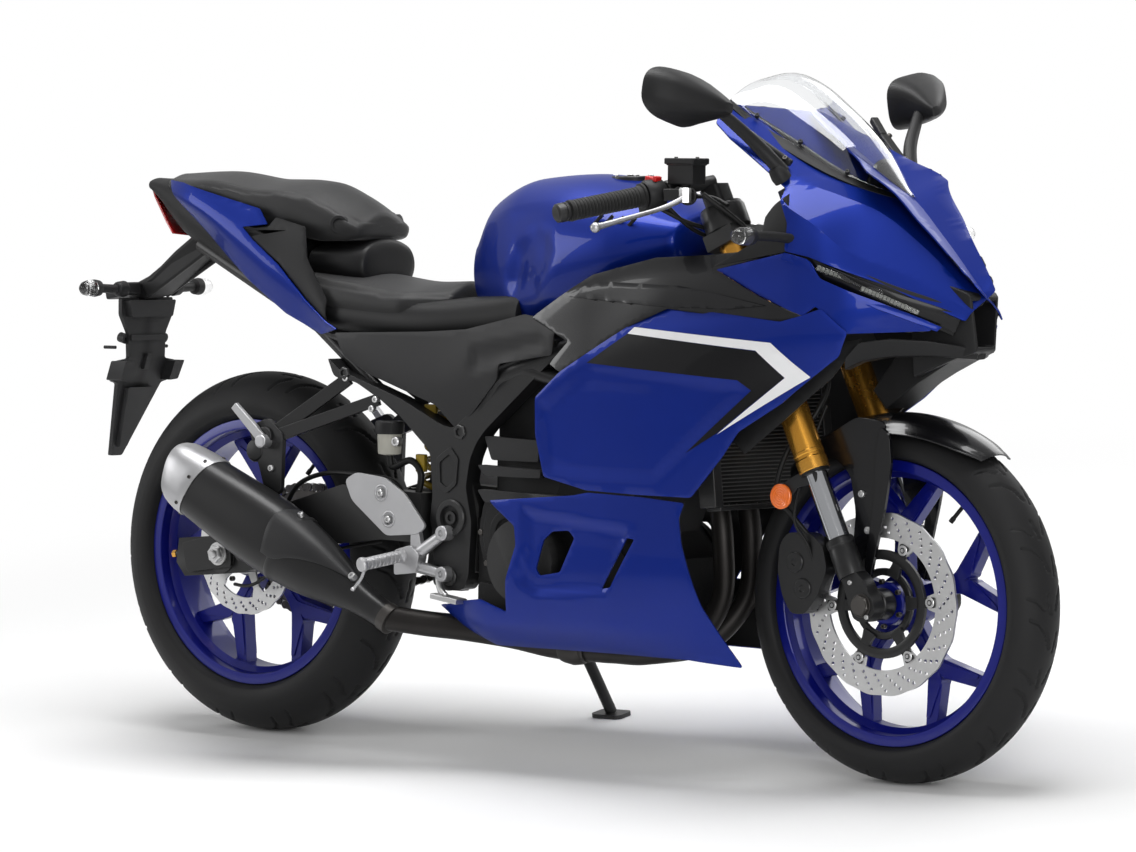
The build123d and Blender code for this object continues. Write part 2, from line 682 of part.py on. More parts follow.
with BuildPart() as muffler_end_cap:
    rings = []
    for share, wide, tall in ((0.9, 103, 115), (1.0, 96, 108), (1.04, 88, 98)):
        with BuildSketch(Plane(origin=muffler_foot + muffler_run * share, x_dir=(0, 1, 0),
                               z_dir=muffler_dir), mode=Mode.PRIVATE) as ring:
            RectangleRounded(wide, tall, min(wide, tall) * 0.36)
        rings.append(ring.sketch.face())
    loft(rings, ruled=True)
    with BuildSketch(Plane(origin=muffler_foot + muffler_run * 0.98, x_dir=(0, 1, 0), z_dir=muffler_dir)):
        Circle(26)
    extrude(amount=60, mode=Mode.SUBTRACT)
save(muffler_end_cap, "muffler_end_cap")

with BuildPart() as radiator:
    with BuildSketch(Plane(origin=(416, 0, 534), x_dir=(0, 1, 0), z_dir=(1, 0, 0.1))):
        Rectangle(300, 190)
    extrude(amount=-32)
    for hand in (-1, 1):
        bar((388, hand * 100, 615), (290, hand * 106, 690), 8)
    add(frame.part, mode=Mode.SUBTRACT)
save(radiator, "radiator")

with BuildPart() as fuel_tank:
    body([(-200, 26, 34, 812, 772, 28, 850, 868), (-150, 52, 66, 826, 742, 58, 894, 936),
          (-60, 92, 104, 850, 735, 92, 922, 972), (60, 118, 146, 872, 745, 112, 934, 980),
          (180, 118, 154, 880, 780, 118, 925, 965), (290, 86, 112, 880, 838, 88, 905, 925)])
    for hand in (-1, 1):
        bar((90, hand * 112, 690), (90, hand * 100, 790), 9)
    add(frame.part, mode=Mode.SUBTRACT)
save(fuel_tank, "fuel_tank")

with BuildPart() as rider_seat:
    body([(-560, 88, 97, 800, 770, 86, 812, 822), (-440, 104, 118, 760, 728, 104, 796, 806),
          (-300, 102, 120, 750, 722, 92, 782, 792), (-234, 54, 68, 752, 732, 52, 782, 794)])
save(rider_seat, "rider_seat")

with BuildPart() as pillion_seat:
    body([(-896, 40, 47, 958, 946, 42, 966, 972), (-780, 78, 90, 945, 925, 78, 966, 977),
          (-650, 84, 96, 925, 890, 84, 950, 964), (-560, 84, 94, 900, 868, 82, 934, 950),
          (-500, 76, 86, 880, 858, 72, 905, 922)])
save(pillion_seat, "pillion_seat")

tail_skin = [(-930, [(44, 966), (54, 958), (44, 948)]), (-780, [(104, 950), (113, 922), (95, 890)]),
             (-650, [(110, 912), (124, 858), (108, 795)]), (-590, [(112, 886), (127, 822), (110, 752)]),
             (-520, [(114, 880), (129, 790), (112, 712)]), (-452, [(120, 790), (136, 738), (122, 698)])]
tail_outline = [(-818, 961), (-930, 975), (-930, 945), (-818, 925), (-767, 898), (-723, 856), (-632, 790),
                (-555, 735), (-484, 700), (-452, 706), (-452, 760), (-505, 830), (-520, 885),
                (-580, 900), (-601, 886), (-656, 930)]
with BuildPart() as tail_cowls:
    for hand in (-1, 1):
        skin(tail_skin, side=hand)
    cut_outline(tail_outline)
save(tail_cowls, "tail_cowls")

with BuildPart() as tail_centre:
    body([(-958, 22, 30, 950, 940, 24, 958, 964), (-900, 40, 46, 928, 905, 36, 936, 940),
          (-760, 66, 76, 892, 866, 60, 912, 924), (-600, 70, 78, 850, 824, 66, 868, 884)], ruled=True)
    add(pillion_seat.part, mode=Mode.SUBTRACT)
    add(frame.part, mode=Mode.SUBTRACT)
save(tail_centre, "tail_centre")

plate_hole = 3.3
plate_hole_x = -1004.0
plate_hole_y = 50.0
plate_hole_z = 682.0
plate_facing = Vector(-0.91, 0, 0.42).normalized()
with BuildPart() as plate_hanger:
    rings = []
    for x, z, wide, deep in ((-792, 876, 90, 46), (-930, 770, 60, 56), (-1010, 735, 54, 34)):
        with BuildSketch(Plane(origin=(x, 0, z), x_dir=(0, 1, 0), z_dir=(-0.88, 0, -0.47)),
                         mode=Mode.PRIVATE) as ring:
            Rectangle(wide, deep)
        rings.append(ring.sketch.face())
    loft(rings, ruled=True)
    rings = []
    for x, z, wide, deep in ((-1020, 742, 130, 60), (-1004, 690, 150, 36), (-1020, 630, 132, 30),
                             (-1098, 470, 34, 22)):
        with BuildSketch(Plane(origin=(x, 0, z), x_dir=(0, 1, 0), z_dir=(-0.42, 0, -0.91)),
                         mode=Mode.PRIVATE) as ring:
            Rectangle(wide, deep)
        rings.append(ring.sketch.face())
    loft(rings, ruled=True)
    bar((-990, -92, 768), (-990, 92, 768), 9)
    with BuildSketch(Plane.XY.offset(740)):
        with Locations((-1040, 0)):
            RectangleRounded(120, 60, 12)
    extrude(amount=38)
    for y in (-plate_hole_y, plate_hole_y):
        middle = Vector(plate_hole_x, y, plate_hole_z)
        bar(tuple(middle - plate_facing * 22), tuple(middle + plate_facing * 22), 10)
        bar(tuple(middle - plate_facing * 30), tuple(middle + plate_facing * 30), plate_hole, Mode.SUBTRACT)
    add(tail_centre.part, mode=Mode.SUBTRACT)
save(plate_hanger, "plate_hanger")

side_skin = [(60, [(196, 770), (212, 640), (205, 550), (196, 440)]),
             (300, [(202, 790), (222, 690), (214, 560), (200, 440)]),
             (450, [(204, 800), (222, 730), (210, 600), (190, 440)]),
             (600, [(202, 800), (212, 740), (194, 640), (178, 540)]),
             (770, [(144, 800), (142, 740), (132, 680), (124, 600)])]
side_outline = [(84, 616), (134, 649), (289, 732), (358, 767), (437, 764), (577, 752), (643, 766),
                (714, 729), (751, 729), (720, 707), (699, 676), (661, 662), (584, 616), (468, 524),
                (401, 455), (292, 456), (200, 467), (94, 483), (85, 551)]
with BuildPart() as side_fairings:
    skin(side_skin, side=-1)
    skin(side_skin, side=1)
    cut_outline(side_outline)
    for hand in (-1, 1):
        bar((200, hand * 213, 640), (200, hand * 112, 652), 6)
    add(frame.part, mode=Mode.SUBTRACT)
save(side_fairings, "side_fairings")

belly_skin = [(-200, [(150, 445), (146, 330), (124, 240), (80, 176)]),
              (-50, [(184, 445), (182, 330), (168, 240), (116, 176)]),
              (200, [(196, 445), (190, 330), (172, 240), (122, 176)]),
              (360, [(188, 445), (182, 330), (160, 240), (126, 176)]),
              (480, [(166, 445), (154, 330), (126, 240), (104, 176)])]
belly_outline = [(-36, 430), (153, 436), (349, 415), (362, 357), (400, 279), (446, 179), (347, 188),
                 (196, 198), (20, 186), (-64, 186), (-112, 216), (-186, 253), (-107, 262), (-65, 269),
                 (-8, 250), (-2, 304), (24, 364), (21, 396), (-24, 428)]
vents = [[(74, 385), (130, 388), (104, 316), (51, 314)],
         [(179, 401), (272, 396), (249, 386), (209, 296), (186, 300), (238, 379)]]
with BuildPart() as belly_fairing:
    skin(belly_skin, side=-1)
    skin(belly_skin, side=1)
    cut_outline(belly_outline)
    for vent in vents:
        cut_outline(vent, mode=Mode.SUBTRACT)
    for hand in (-1, 1):
        bar((165, hand * 190, 425), (165, hand * 90, 425), 6)
        bar((-30, hand * 173, 280), (-30, hand * 100, 280), 6)
    add(engine.part, mode=Mode.SUBTRACT)
save(belly_fairing, "belly_fairing")

nose_skin = [(425, [(124, 1100), (160, 1085), (200, 1062), (214, 1000)]),
             (480, [(114, 1062), (156, 1048), (204, 1030), (214, 940)]),
             (590, [(86, 992), (142, 972), (200, 930), (210, 850)]),
             (700, [(6, 946), (78, 918), (146, 868), (172, 810)]),
             (842, [(4, 792), (20, 782), (40, 768), (54, 748)])]
nose_outline = [(420, 1110), (440, 1066), (468, 1040), (577, 960), (598, 871), (595, 852), (651, 832),
                (751, 790), (842, 745), (850, 800), (705, 960), (600, 1005), (500, 1080)]
with BuildPart() as nose_fairing:
    for hand in (-1, 1):
        skin(nose_skin, side=hand)
    cut_outline(nose_outline)
    bar((704, 0, 938), (836, 0, 792), 6)
    bar((598, -202.5, 868), (598, 202.5, 868), 7)
    add(frame.part, mode=Mode.SUBTRACT)
save(nose_fairing, "nose_fairing")

screen_skin = [(418, [(30, 1140), (76, 1130), (116, 1110)]), (480, [(30, 1128), (74, 1108), (106, 1074)]),
               (600, [(26, 1050), (56, 1030), (78, 1000)]), (705, [(8, 946), (16, 943), (22, 939)])]
with BuildPart() as windscreen:
    sections = []
    for x, edge in screen_skin:
        with BuildSketch(Plane.YZ.offset(x), mode=Mode.PRIVATE) as section:
            with BuildLine():
                outer = [(-y, z) for y, z in reversed(edge)] + list(edge)
                inner = [(y, z - 3) for y, z in reversed(outer)]
                Polyline(*outer, *inner, close=True)
            make_face()
        sections.append(section.sketch.face())
    loft(sections, ruled=True)
    add(nose_fairing.part, mode=Mode.SUBTRACT)
save(windscreen, "windscreen")

with BuildPart() as nose_duct:
    plate([(836, 752), (838, 709), (799, 686), (670, 611), (640, 640), (690, 700), (740, 790)], 38, 76)
save(nose_duct, "nose_duct")

with BuildPart() as headlamps:
    for hand in (-1, 1):
        skin([(650, [(187, 836), (192, 810), (184, 796)]), (760, [(116, 792), (116, 772), (110, 754)]),
              (840, [(50, 752), (49, 738), (44, 726)])], wall=14, side=hand)
    add(nose_fairing.part, mode=Mode.SUBTRACT)
    add(nose_duct.part, mode=Mode.SUBTRACT)
save(headlamps, "headlamps")

mirror_at = (452.0, 326.0, 1108.0)
mirror_tilt = 12.0
with BuildPart() as mirrors:
    for hand in (-1, 1):
        bar((566, hand * 176, 970), (506, hand * 278, 1092), 9)
        rings = []
        for ahead, inward, wide, tall in ((0, 0, 138, 84), (26, 4, 126, 74), (60, 26, 76, 46), (84, 46, 34, 26)):
            facing = Plane(origin=(mirror_at[0] + ahead, hand * (mirror_at[1] - inward),
                                   mirror_at[2] - inward * 0.4), x_dir=(0, 1, 0), z_dir=(1, 0, 0))
            with BuildSketch(facing, mode=Mode.PRIVATE) as ring:
                RectangleRounded(wide, tall, tall * 0.3, rotation=-hand * mirror_tilt)
            rings.append(ring.sketch.face())
        loft(rings, ruled=True)
    add(nose_fairing.part, mode=Mode.SUBTRACT)
save(mirrors, "mirrors")

with BuildPart() as turn_signals:
    for hand in (-1, 1):
        bar((-990, hand * 92, 768), (-990, hand * 120, 768), 7)
        with BuildSketch(Plane.XZ.offset(-hand * 120)):
            with Locations((-990, 771)):
                Ellipse(28, 14)
        extrude(amount=-hand * 50)
        bar((614, hand * 188, 882), (582, hand * 278, 884), 7)
        with BuildSketch(Plane.XZ.offset(-hand * 272)):
            with Locations((572, 884)):
                Ellipse(30, 13)
        extrude(amount=-hand * 54)
    add(nose_fairing.part, mode=Mode.SUBTRACT)
save(turn_signals, "turn_signals")

with BuildPart() as cockpit:
    with BuildSketch(Plane(origin=(560, 0, 905), x_dir=(0, 1, 0), z_dir=(-0.8, 0, 0.6))):
        RectangleRounded(220, 120, 20)
    extrude(amount=30, both=True)
    add(frame.part, mode=Mode.SUBTRACT)
save(cockpit, "cockpit")

with BuildPart() as tank_trims:
    trim_skin = [(30, [(176, 795), (186, 770), (188, 745)]), (190, [(178, 830), (198, 790), (206, 715)]),
                 (370, [(176, 875), (204, 820), (214, 730)]), (560, [(176, 870), (208, 810), (212, 745)])]
    for hand in (-1, 1):
        skin(trim_skin, wall=3, side=hand)
    cut_outline([(41, 748), (34, 788), (123, 820), (246, 836), (336, 865), (401, 871), (547, 865),
                 (558, 775), (358, 775), (289, 740), (134, 660), (128, 705), (140, 721)])
    for hand in (-1, 1):
        bar((190, hand * 199, 740), (190, hand * 116, 727), 6)
    add(frame.part, mode=Mode.SUBTRACT)
save(tank_trims, "tank_trims")

with BuildPart() as side_covers:
    cover_skin = [(-430, [(132, 716), (134, 690), (130, 640)]), (-200, [(140, 730), (142, 640), (132, 530)]),
                  (-40, [(150, 735), (156, 690), (150, 620)]), (110, [(158, 755), (166, 715), (164, 660)])]
    for hand in (-1, 1):
        skin(cover_skin, wall=3, side=hand)
    cut_outline([(-429, 705), (-405, 665), (-350, 637), (-195, 589), (-147, 545), (-51, 635), (-44, 663),
                 (86, 681), (94, 729), (16, 747), (-124, 718), (-215, 712)])
    for hand in (-1, 1):
        bar((-80, hand * 148, 640), (-76, hand * 122, 622), 6)
    add(frame.part, mode=Mode.SUBTRACT)
save(side_covers, "side_covers")

with BuildPart() as rear_mudguard:
    with BuildSketch(Plane.XZ.offset(-60)):
        with BuildLine():
            Polyline((-335, 590), (-400, 650), (-520, 700), (-680, 720), (-680, 714), (-522, 694),
                     (-404, 644), (-341, 586), close=True)
        make_face()
    extrude(amount=120)
    for hand in (-1, 1):
        bar((-600, hand * 44, 705), (-600, hand * 44, 836), 6)
    add(tail_centre.part, mode=Mode.SUBTRACT)
save(rear_mudguard, "rear_mudguard")

with BuildPart() as rear_shock:
    bar((-305, 0, 418), (-262, 0, 644), 28)
save(rear_shock, "rear_shock")

with BuildPart() as rider_footrests:
    for hand in (-1, 1):
        plate([(-378, 466), (-292, 463), (-205, 385), (-150, 330), (-200, 300), (-245, 340), (-335, 388)],
              hand * 152 + 4, 8)
        bar((-241, hand * 150, 343), (-266, hand * 250, 320), 11)
        bar((-200, hand * 122, 372), (-200, hand * 150, 372), 9)
save(rider_footrests, "rider_footrests")

with BuildPart() as passenger_footrests:
    for hand in (-1, 1):
        bar((-400, hand * 128, 626), (-545, hand * 160, 525), 9)
        bar((-330, hand * 133, 598), (-545, hand * 160, 525), 9)
        bar((-545, hand * 150, 525), (-540, hand * 262, 560), 11)
        bar((-400, hand * 128, 628), (-400, hand * 102, 645), 8)
    add(frame.part, mode=Mode.SUBTRACT)
save(passenger_footrests, "passenger_footrests")

with BuildPart() as rear_brake:
    outer_half = [(50, 330), (130, 372), (180, 350), (166, 300), (100, 285), (42, 290)]
    inner_half = [(50, 330), (130, 372), (130, 300), (100, 285), (42, 290)]
    bridge = [(114, 360), (130, 372), (180, 350), (166, 300), (118, 292)]
    for outline, y, wall in ((outer_half, rear_disc_y - disc_wall / 2 - 2, 22),
                             (inner_half, rear_disc_y + disc_wall / 2 + 12, 10),
                             (bridge, rear_disc_y + disc_wall / 2 + 12, 40)):
        plate([(rear_axle_x + x, z) for x, z in outline], y, wall)
    bar((rear_axle_x + 110, -84, 335), (rear_axle_x + 110, swingarm_wall - arm_outer, 335), 9)
    with BuildSketch(Plane.XY.offset(510)):
        with Locations((-310, -150)):
            RectangleRounded(40, 30, 8)
    extrude(amount=52)
    bar((-310, -142, 548), (-290, -108, 568), 6)
    add(frame.part, mode=Mode.SUBTRACT)
save(rear_brake, "rear_brake")

with BuildPart() as chain:
    half_plate = plate_height / 2
    for y in (chain_y + roller_width / 2 + plate_wall, chain_y - roller_width / 2):
        for grow, mode in ((half_plate, Mode.ADD), (-half_plate, Mode.SUBTRACT)):
            with BuildSketch(Plane.XZ.offset(-y), mode=Mode.PRIVATE) as loop:
                with Locations((rear_axle_x, rear_axle_z)):
                    Circle(rear_pitch + grow)
                with Locations((front_sprocket_x, front_sprocket_z)):
                    Circle(front_pitch + grow)
                make_hull()
            extrude(loop.sketch, amount=plate_wall, mode=mode)
    gap_x = front_sprocket_x - rear_axle_x
    gap_z = front_sprocket_z - rear_axle_z
    reach = sqrt(gap_x ** 2 + gap_z ** 2)
    flare = asin((rear_pitch - front_pitch) / reach)
    straight = reach * cos(flare)
    for side in (-1, 1):
        slope = atan2(gap_z, gap_x) - side * flare
        start_x = rear_axle_x - side * rear_pitch * sin(slope)
        start_z = rear_axle_z + side * rear_pitch * cos(slope)
        for link in range(4, int(straight / chain_pitch) - 2):
            x = start_x + link * chain_pitch * cos(slope)
            z = start_z + link * chain_pitch * sin(slope)
            bar((x, chain_y - roller_width / 2, z), (x, chain_y + roller_width / 2, z), roller_radius)
save(chain, "chain")

# ---------------------------------------------------------------- side stand

with BuildPart() as side_stand:
    pin = Vector(*stand_hinge)
    bar(tuple(pin + stand_run.normalized() * 8), (stand_foot[0], stand_foot[1], foot_z + foot_wall), stand_tube)
    bar(tuple(pin - stand_axis * 12), tuple(pin + stand_axis * 12), 16)
    with BuildSketch(Plane(origin=(stand_foot[0], stand_foot[1], foot_z),
                           z_dir=(0, -sin(radians(lean)), cos(radians(lean))), x_dir=(1, 0, 0))):
        RectangleRounded(64, 40, 10)
    extrude(amount=foot_wall)
    bar(tuple(pin - stand_axis * 40), tuple(pin + stand_axis * 40), 6.3, Mode.SUBTRACT)
save(side_stand, "side_stand")
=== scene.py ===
import math
import bmesh
import bpy
import numpy as np
from mathutils import Matrix, Vector
from mathutils.bvhtree import BVHTree
from mathutils.geometry import delaunay_2d_cdt


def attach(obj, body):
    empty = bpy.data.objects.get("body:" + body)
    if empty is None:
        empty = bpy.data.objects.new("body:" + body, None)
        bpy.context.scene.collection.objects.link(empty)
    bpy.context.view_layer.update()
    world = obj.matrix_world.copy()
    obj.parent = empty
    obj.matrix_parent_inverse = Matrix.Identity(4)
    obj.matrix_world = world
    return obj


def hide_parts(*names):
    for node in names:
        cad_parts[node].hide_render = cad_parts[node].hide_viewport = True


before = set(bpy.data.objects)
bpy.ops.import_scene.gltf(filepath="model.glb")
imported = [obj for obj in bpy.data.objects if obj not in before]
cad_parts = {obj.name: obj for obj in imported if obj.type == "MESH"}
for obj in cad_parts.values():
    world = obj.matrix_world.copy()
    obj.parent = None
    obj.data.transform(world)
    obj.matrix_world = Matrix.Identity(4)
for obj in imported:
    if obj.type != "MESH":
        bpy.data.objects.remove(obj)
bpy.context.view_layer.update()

# Sport motorcycle. Sizes are millimetres on the upright machine: X forward, Y to the
# left, Z up, from the ground half way between the axles. stand_at leans them over.
lean = math.radians(10.0)
rest_x, rest_y = 62.494, -188.691
front_wheel = dict(x=690.0, z=293.86, radius=293.0, crown=56.0, half=54.0, bead=38.0, flange=232.0)
rear_wheel = dict(x=-690.0, z=315.09, radius=314.0, crown=71.0, half=69.0, bead=51.0, flange=232.0)
rake = math.radians(25.0)
head_foot = 785.0
fork_offset = 31.0
leg_y = 104.0
chain_pitch, chain_y = 15.875, 84.0
wheel_teeth, engine_teeth = 43, 14
engine_sprocket = (-86.0, 392.0)


def stand_at(x, y, z):
    """A place on the upright machine, in mm, as it stands on its side stand, in metres."""
    return Vector(((x + rest_x) / 1000,
                   (y * math.cos(lean) + z * math.sin(lean) + rest_y) / 1000,
                   (z * math.cos(lean) - y * math.sin(lean)) / 1000))


def turned(direction):
    """A direction on the upright machine as it points on the leaning one."""
    return (stand_at(*direction) - stand_at(0, 0, 0)).normalized()


def pitched(degrees):
    """A turn about the machine's cross axis."""
    return Matrix.Rotation(math.radians(degrees), 3, "Y")


# ---------------------------------------------------------------- curves and outlines

def through(xs, ys, x):
    """Smooth value at x through the points xs, ys, which rise in x."""
    if x <= xs[0]:
        return ys[0] + (x - xs[0]) * (ys[1] - ys[0]) / (xs[1] - xs[0])
    if x >= xs[-1]:
        return ys[-1] + (x - xs[-1]) * (ys[-1] - ys[-2]) / (xs[-1] - xs[-2])
    i = max(k for k in range(len(xs) - 1) if xs[k] <= x)
    slopes = [(ys[k + 1] - ys[k]) / (xs[k + 1] - xs[k]) for k in range(len(xs) - 1)]

    def tangent(k):
        if k == 0 or k == len(xs) - 1:
            return slopes[0 if k == 0 else -1]
        a, b = slopes[k - 1], slopes[k]
        return 0.0 if a * b <= 0 else 2 * a * b / (a + b)
    w = xs[i + 1] - xs[i]
    t = (x - xs[i]) / w
    return ((2 * t ** 3 - 3 * t ** 2 + 1) * ys[i] + (t ** 3 - 2 * t ** 2 + t) * w * tangent(i)
            + (3 * t ** 2 - 2 * t ** 3) * ys[i + 1] + (t ** 3 - t ** 2) * w * tangent(i + 1))


def straight(xs, ys, x):
    """Value at x on the straight lines through the points xs, ys, carried on past both ends."""
    i = 0
    while i < len(xs) - 2 and x > xs[i + 1]:
        i += 1
    return ys[i] + (x - xs[i]) * (ys[i + 1] - ys[i]) / (xs[i + 1] - xs[i])


def knot_at(rows, i, x):
    """Where the line through the i-th points of all rows lies at x: (height, half width)."""
    xs = [r[0] for r in rows]
    return through(xs, [r[1][i][1] for r in rows], x), through(xs, [r[1][i][0] for r in rows], x)


def depth_at(rows, x, z, folded):
    """Half width of a panel at a place in side view. rows are (x, [(y, z), ...])."""
    edge = sorted(knot_at(rows, i, x) for i in range(len(rows[0][1])))
    return (straight if folded else through)([e[0] for e in edge], [e[1] for e in edge], z)


def eased(t):
    """Soft step from 0 to 1."""
    return t * t * (3 - 2 * t)


def softened(points, size):
    """The outline with each corner rounded off by up to size."""
    out = []
    n = len(points)
    for i in range(n):
        a, b, c = (Vector(points[(i + k) % n]) for k in (-1, 0, 1))
        r = min(size, 0.4 * (a - b).length, 0.4 * (c - b).length)
        p, q = b + (a - b).normalized() * r, b + (c - b).normalized() * r
        for t in (0.0, 0.33, 0.67, 1.0):
            out.append((p * (1 - t) ** 2 + b * 2 * t * (1 - t) + q * t ** 2).to_tuple())
    return out


def inside(outline, x, z):
    """Whether a place lies within an outline."""
    hit = False
    for (ax, az), (bx, bz) in zip(outline, outline[1:] + outline[:1]):
        if (az > z) != (bz > z) and x < (bx - ax) * (z - az) / (bz - az) + ax:
            hit = not hit
    return hit


def to_edge(outline, x, z):
    """Distance from a place to an outline."""
    p = np.array(outline, float)
    q = np.roll(p, -1, axis=0) - p
    w = np.array([x, z]) - p
    t = np.clip((w * q).sum(1) / np.maximum((q * q).sum(1), 1e-9), 0, 1)
    return float(np.sqrt(((w - q * t[:, None]) ** 2).sum(1).min()))


def flat_mesh(outline, holes=(), step=11.0, folds=()):
    """Triangles that fill an outline with holes: (points, faces) in its plane. folds are lines that
    the triangles keep to."""
    points, edges = [], []
    for loop in [outline, *holes]:
        first = len(points)
        for a, b in zip(loop, list(loop[1:]) + [loop[0]]):
            a, b = Vector(a), Vector(b)
            parts = max(1, int((b - a).length / step))
            points += [a + (b - a) * k / parts for k in range(parts)]
        count = len(points) - first
        edges += [(first + k, first + (k + 1) % count) for k in range(count)]
    kept = []
    for fold in folds:
        last = None
        for p in fold:
            if inside(outline, *p) and to_edge(outline, *p) > 1.0 and not any(inside(h, *p) for h in holes):
                points.append(Vector(p))
                kept.append(p)
                if last is not None:
                    edges.append((last, len(points) - 1))
                last = len(points) - 1
            else:
                last = None
    near = np.array(kept or [(1e9, 1e9)])
    xs, zs = [p[0] for p in outline], [p[1] for p in outline]
    x = min(xs) + step * 0.5
    while x < max(xs):
        z = min(zs) + step * 0.5
        while z < max(zs):
            if inside(outline, x, z) and to_edge(outline, x, z) > step * 0.45 \
                    and np.hypot(near[:, 0] - x, near[:, 1] - z).min() >= step * 0.45 \
                    and not any(inside(h, x, z) or to_edge(h, x, z) < step * 0.4 for h in holes):
                points.append(Vector((x, z)))
            z += step
        x += step
    made = delaunay_2d_cdt(points, edges, [], 0, 1e-7)
    faces = []
    for tri in made[2]:
        cx = sum(made[0][k][0] for k in tri) / 3
        cz = sum(made[0][k][1] for k in tri) / 3
        if inside(outline, cx, cz) and not any(inside(h, cx, cz) for h in holes):
            faces.append(tuple(tri))
    used = sorted({k for f in faces for k in f})
    spot = {k: i for i, k in enumerate(used)}
    return [tuple(made[0][k]) for k in used], [tuple(spot[k] for k in f) for f in faces]


def sheet_faces(rows, n):
    """Faces between rows of n points each."""
    return [(i * n + k, i * n + k + 1, (i + 1) * n + k + 1, (i + 1) * n + k)
            for i in range(rows - 1) for k in range(n - 1)]


def loop_faces(rings, n):
    """Faces between rings of n points each."""
    return [(i * n + k, i * n + (k + 1) % n, (i + 1) * n + (k + 1) % n, (i + 1) * n + k)
            for i in range(rings - 1) for k in range(n)]


def tube_faces(rings, n):
    """Faces between rings of n points each, and a cap on both ends."""
    return loop_faces(rings, n) + [tuple(reversed(range(n))), tuple((rings - 1) * n + k for k in range(n))]


# ---------------------------------------------------------------- making pieces

def piece(name, points, faces, finish, body="chassis", stands_for=(), creased=35.0, merge=True, slot=None):
    """A mesh piece from points on the upright machine, riding on a body."""
    data = bpy.data.meshes.new(name)
    data.from_pydata([stand_at(*p) for p in points], [], faces)
    obj = bpy.data.objects.new(name, data)
    bpy.context.scene.collection.objects.link(obj)
    if merge:
        bm = bmesh.new()
        bm.from_mesh(data)
        bmesh.ops.remove_doubles(bm, verts=bm.verts, dist=1e-6)
        bmesh.ops.recalc_face_normals(bm, faces=bm.faces)
        bm.to_mesh(data)
        bm.free()
    data.materials.append(finish)
    settle(obj, body, stands_for)
    shade(obj, creased)
    return obj


def settle(obj, body, stands_for):
    """Puts a piece on its body and hides the carried-over pieces it stands for."""
    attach(obj, body)
    if stands_for:
        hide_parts(*stands_for)


def shade(obj, creased):
    """Smooth shading with edges sharper than an angle left crisp."""
    obj.data.polygons.foreach_set("use_smooth", [True] * len(obj.data.polygons))
    obj.data.set_sharp_from_angle(angle=math.radians(creased))


def thicken(obj, wall, rolled=0.0):
    """Gives a panel its wall and a rolled edge."""
    solid = obj.modifiers.new("wall", "SOLIDIFY")
    solid.thickness = wall / 1000
    solid.offset = -1.0
    if rolled:
        rounded(obj, rolled, "rolled edge", 2, 50)


def rounded(obj, width, name="small radii", segments=3, angle=30):
    """Small radii on a machined or moulded piece."""
    bevel = obj.modifiers.new(name, "BEVEL")
    bevel.width = width / 1000
    bevel.segments = segments
    bevel.limit_method = "ANGLE"
    bevel.angle_limit = math.radians(angle)
    bevel.harden_normals = False


def join(parts):
    """Adds (points, faces) lists into one."""
    points, faces = [], []
    for p, f in parts:
        base = len(points)
        points += list(p)
        faces += [tuple(k + base for k in face) for face in f]
    return points, faces


def panel(name, rows, outline, finish, wall=2.6, lift=0.0, holes=(), step=11.0, corner=5.0, dents=(),
          stands_for=(), folded=False):
    """A moulded panel: the skin of rows, trimmed to a side-view outline, one for each hand.
    dents are (outline, depth, softness): places pressed in, or raised where depth is below zero.
    A folded panel is flat between the lines through its rows' points, with a crease on each."""
    outline = softened(outline, corner)
    holes = [softened(h, corner * 0.8) for h in holes]
    folds = []
    if folded:
        low, high = min(p[0] for p in outline), max(p[0] for p in outline)
        count = int((high - low) / step) + 1
        xs = [low + (high - low) * k / count for k in range(count + 1)]
        for i in range(1, len(rows[0][1]) - 1):
            folds.append([(x, knot_at(rows, i, x)[0]) for x in xs])
    flat, faces = flat_mesh(outline, holes, step, folds)
    skin = []
    for x, z in flat:
        y = depth_at(rows, x, z, folded) + lift
        for shape, deep, soft in dents:
            if inside(shape, x, z):
                y -= deep * eased(min(1.0, to_edge(shape, x, z) / soft))
        skin.append((x, y, z))
    parts = []
    for hand in (-1, 1):
        pts = [(x, hand * y, z) for x, y, z in skin]
        a, b, c = (Vector(pts[k]) for k in faces[0])
        out = (b - a).cross(c - a).y * hand > 0
        parts.append((pts, faces if out else [tuple(reversed(f)) for f in faces]))
    points, faces = join(parts)
    obj = piece(name, points, faces, finish, stands_for=stands_for, creased=11.0 if folded else 60.0,
                merge=False)
    if wall:
        thicken(obj, wall, 0.7)
        if finish in (blue_paint, gloss_black):
            obj.data.materials.append(trim_black)
            obj.modifiers["wall"].material_offset = 1
    return obj


def arc(a, b, c, n):
    """n + 1 points on the circle through three points of a plane."""
    (ax, ay), (bx, by), (cx, cy) = a, b, c
    d = 2 * (ax * (by - cy) + bx * (cy - ay) + cx * (ay - by))
    if abs(d) < 1e-6:
        return [(ax + (cx - ax) * k / n, ay + (cy - ay) * k / n) for k in range(n + 1)]
    aa, bb, cc = ax ** 2 + ay ** 2, bx ** 2 + by ** 2, cx ** 2 + cy ** 2
    ux = (aa * (by - cy) + bb * (cy - ay) + cc * (ay - by)) / d
    uy = (aa * (cx - bx) + bb * (ax - cx) + cc * (bx - ax)) / d
    r = math.hypot(ax - ux, ay - uy)
    s, m, e = (math.atan2(py - uy, px - ux) for px, py in (a, b, c))
    m = (m - s) % (2 * math.pi)
    e = (e - s) % (2 * math.pi)
    if m > e:
        e -= 2 * math.pi
    return [(ux + r * math.cos(s + e * k / n), uy + r * math.sin(s + e * k / n)) for k in range(n + 1)]


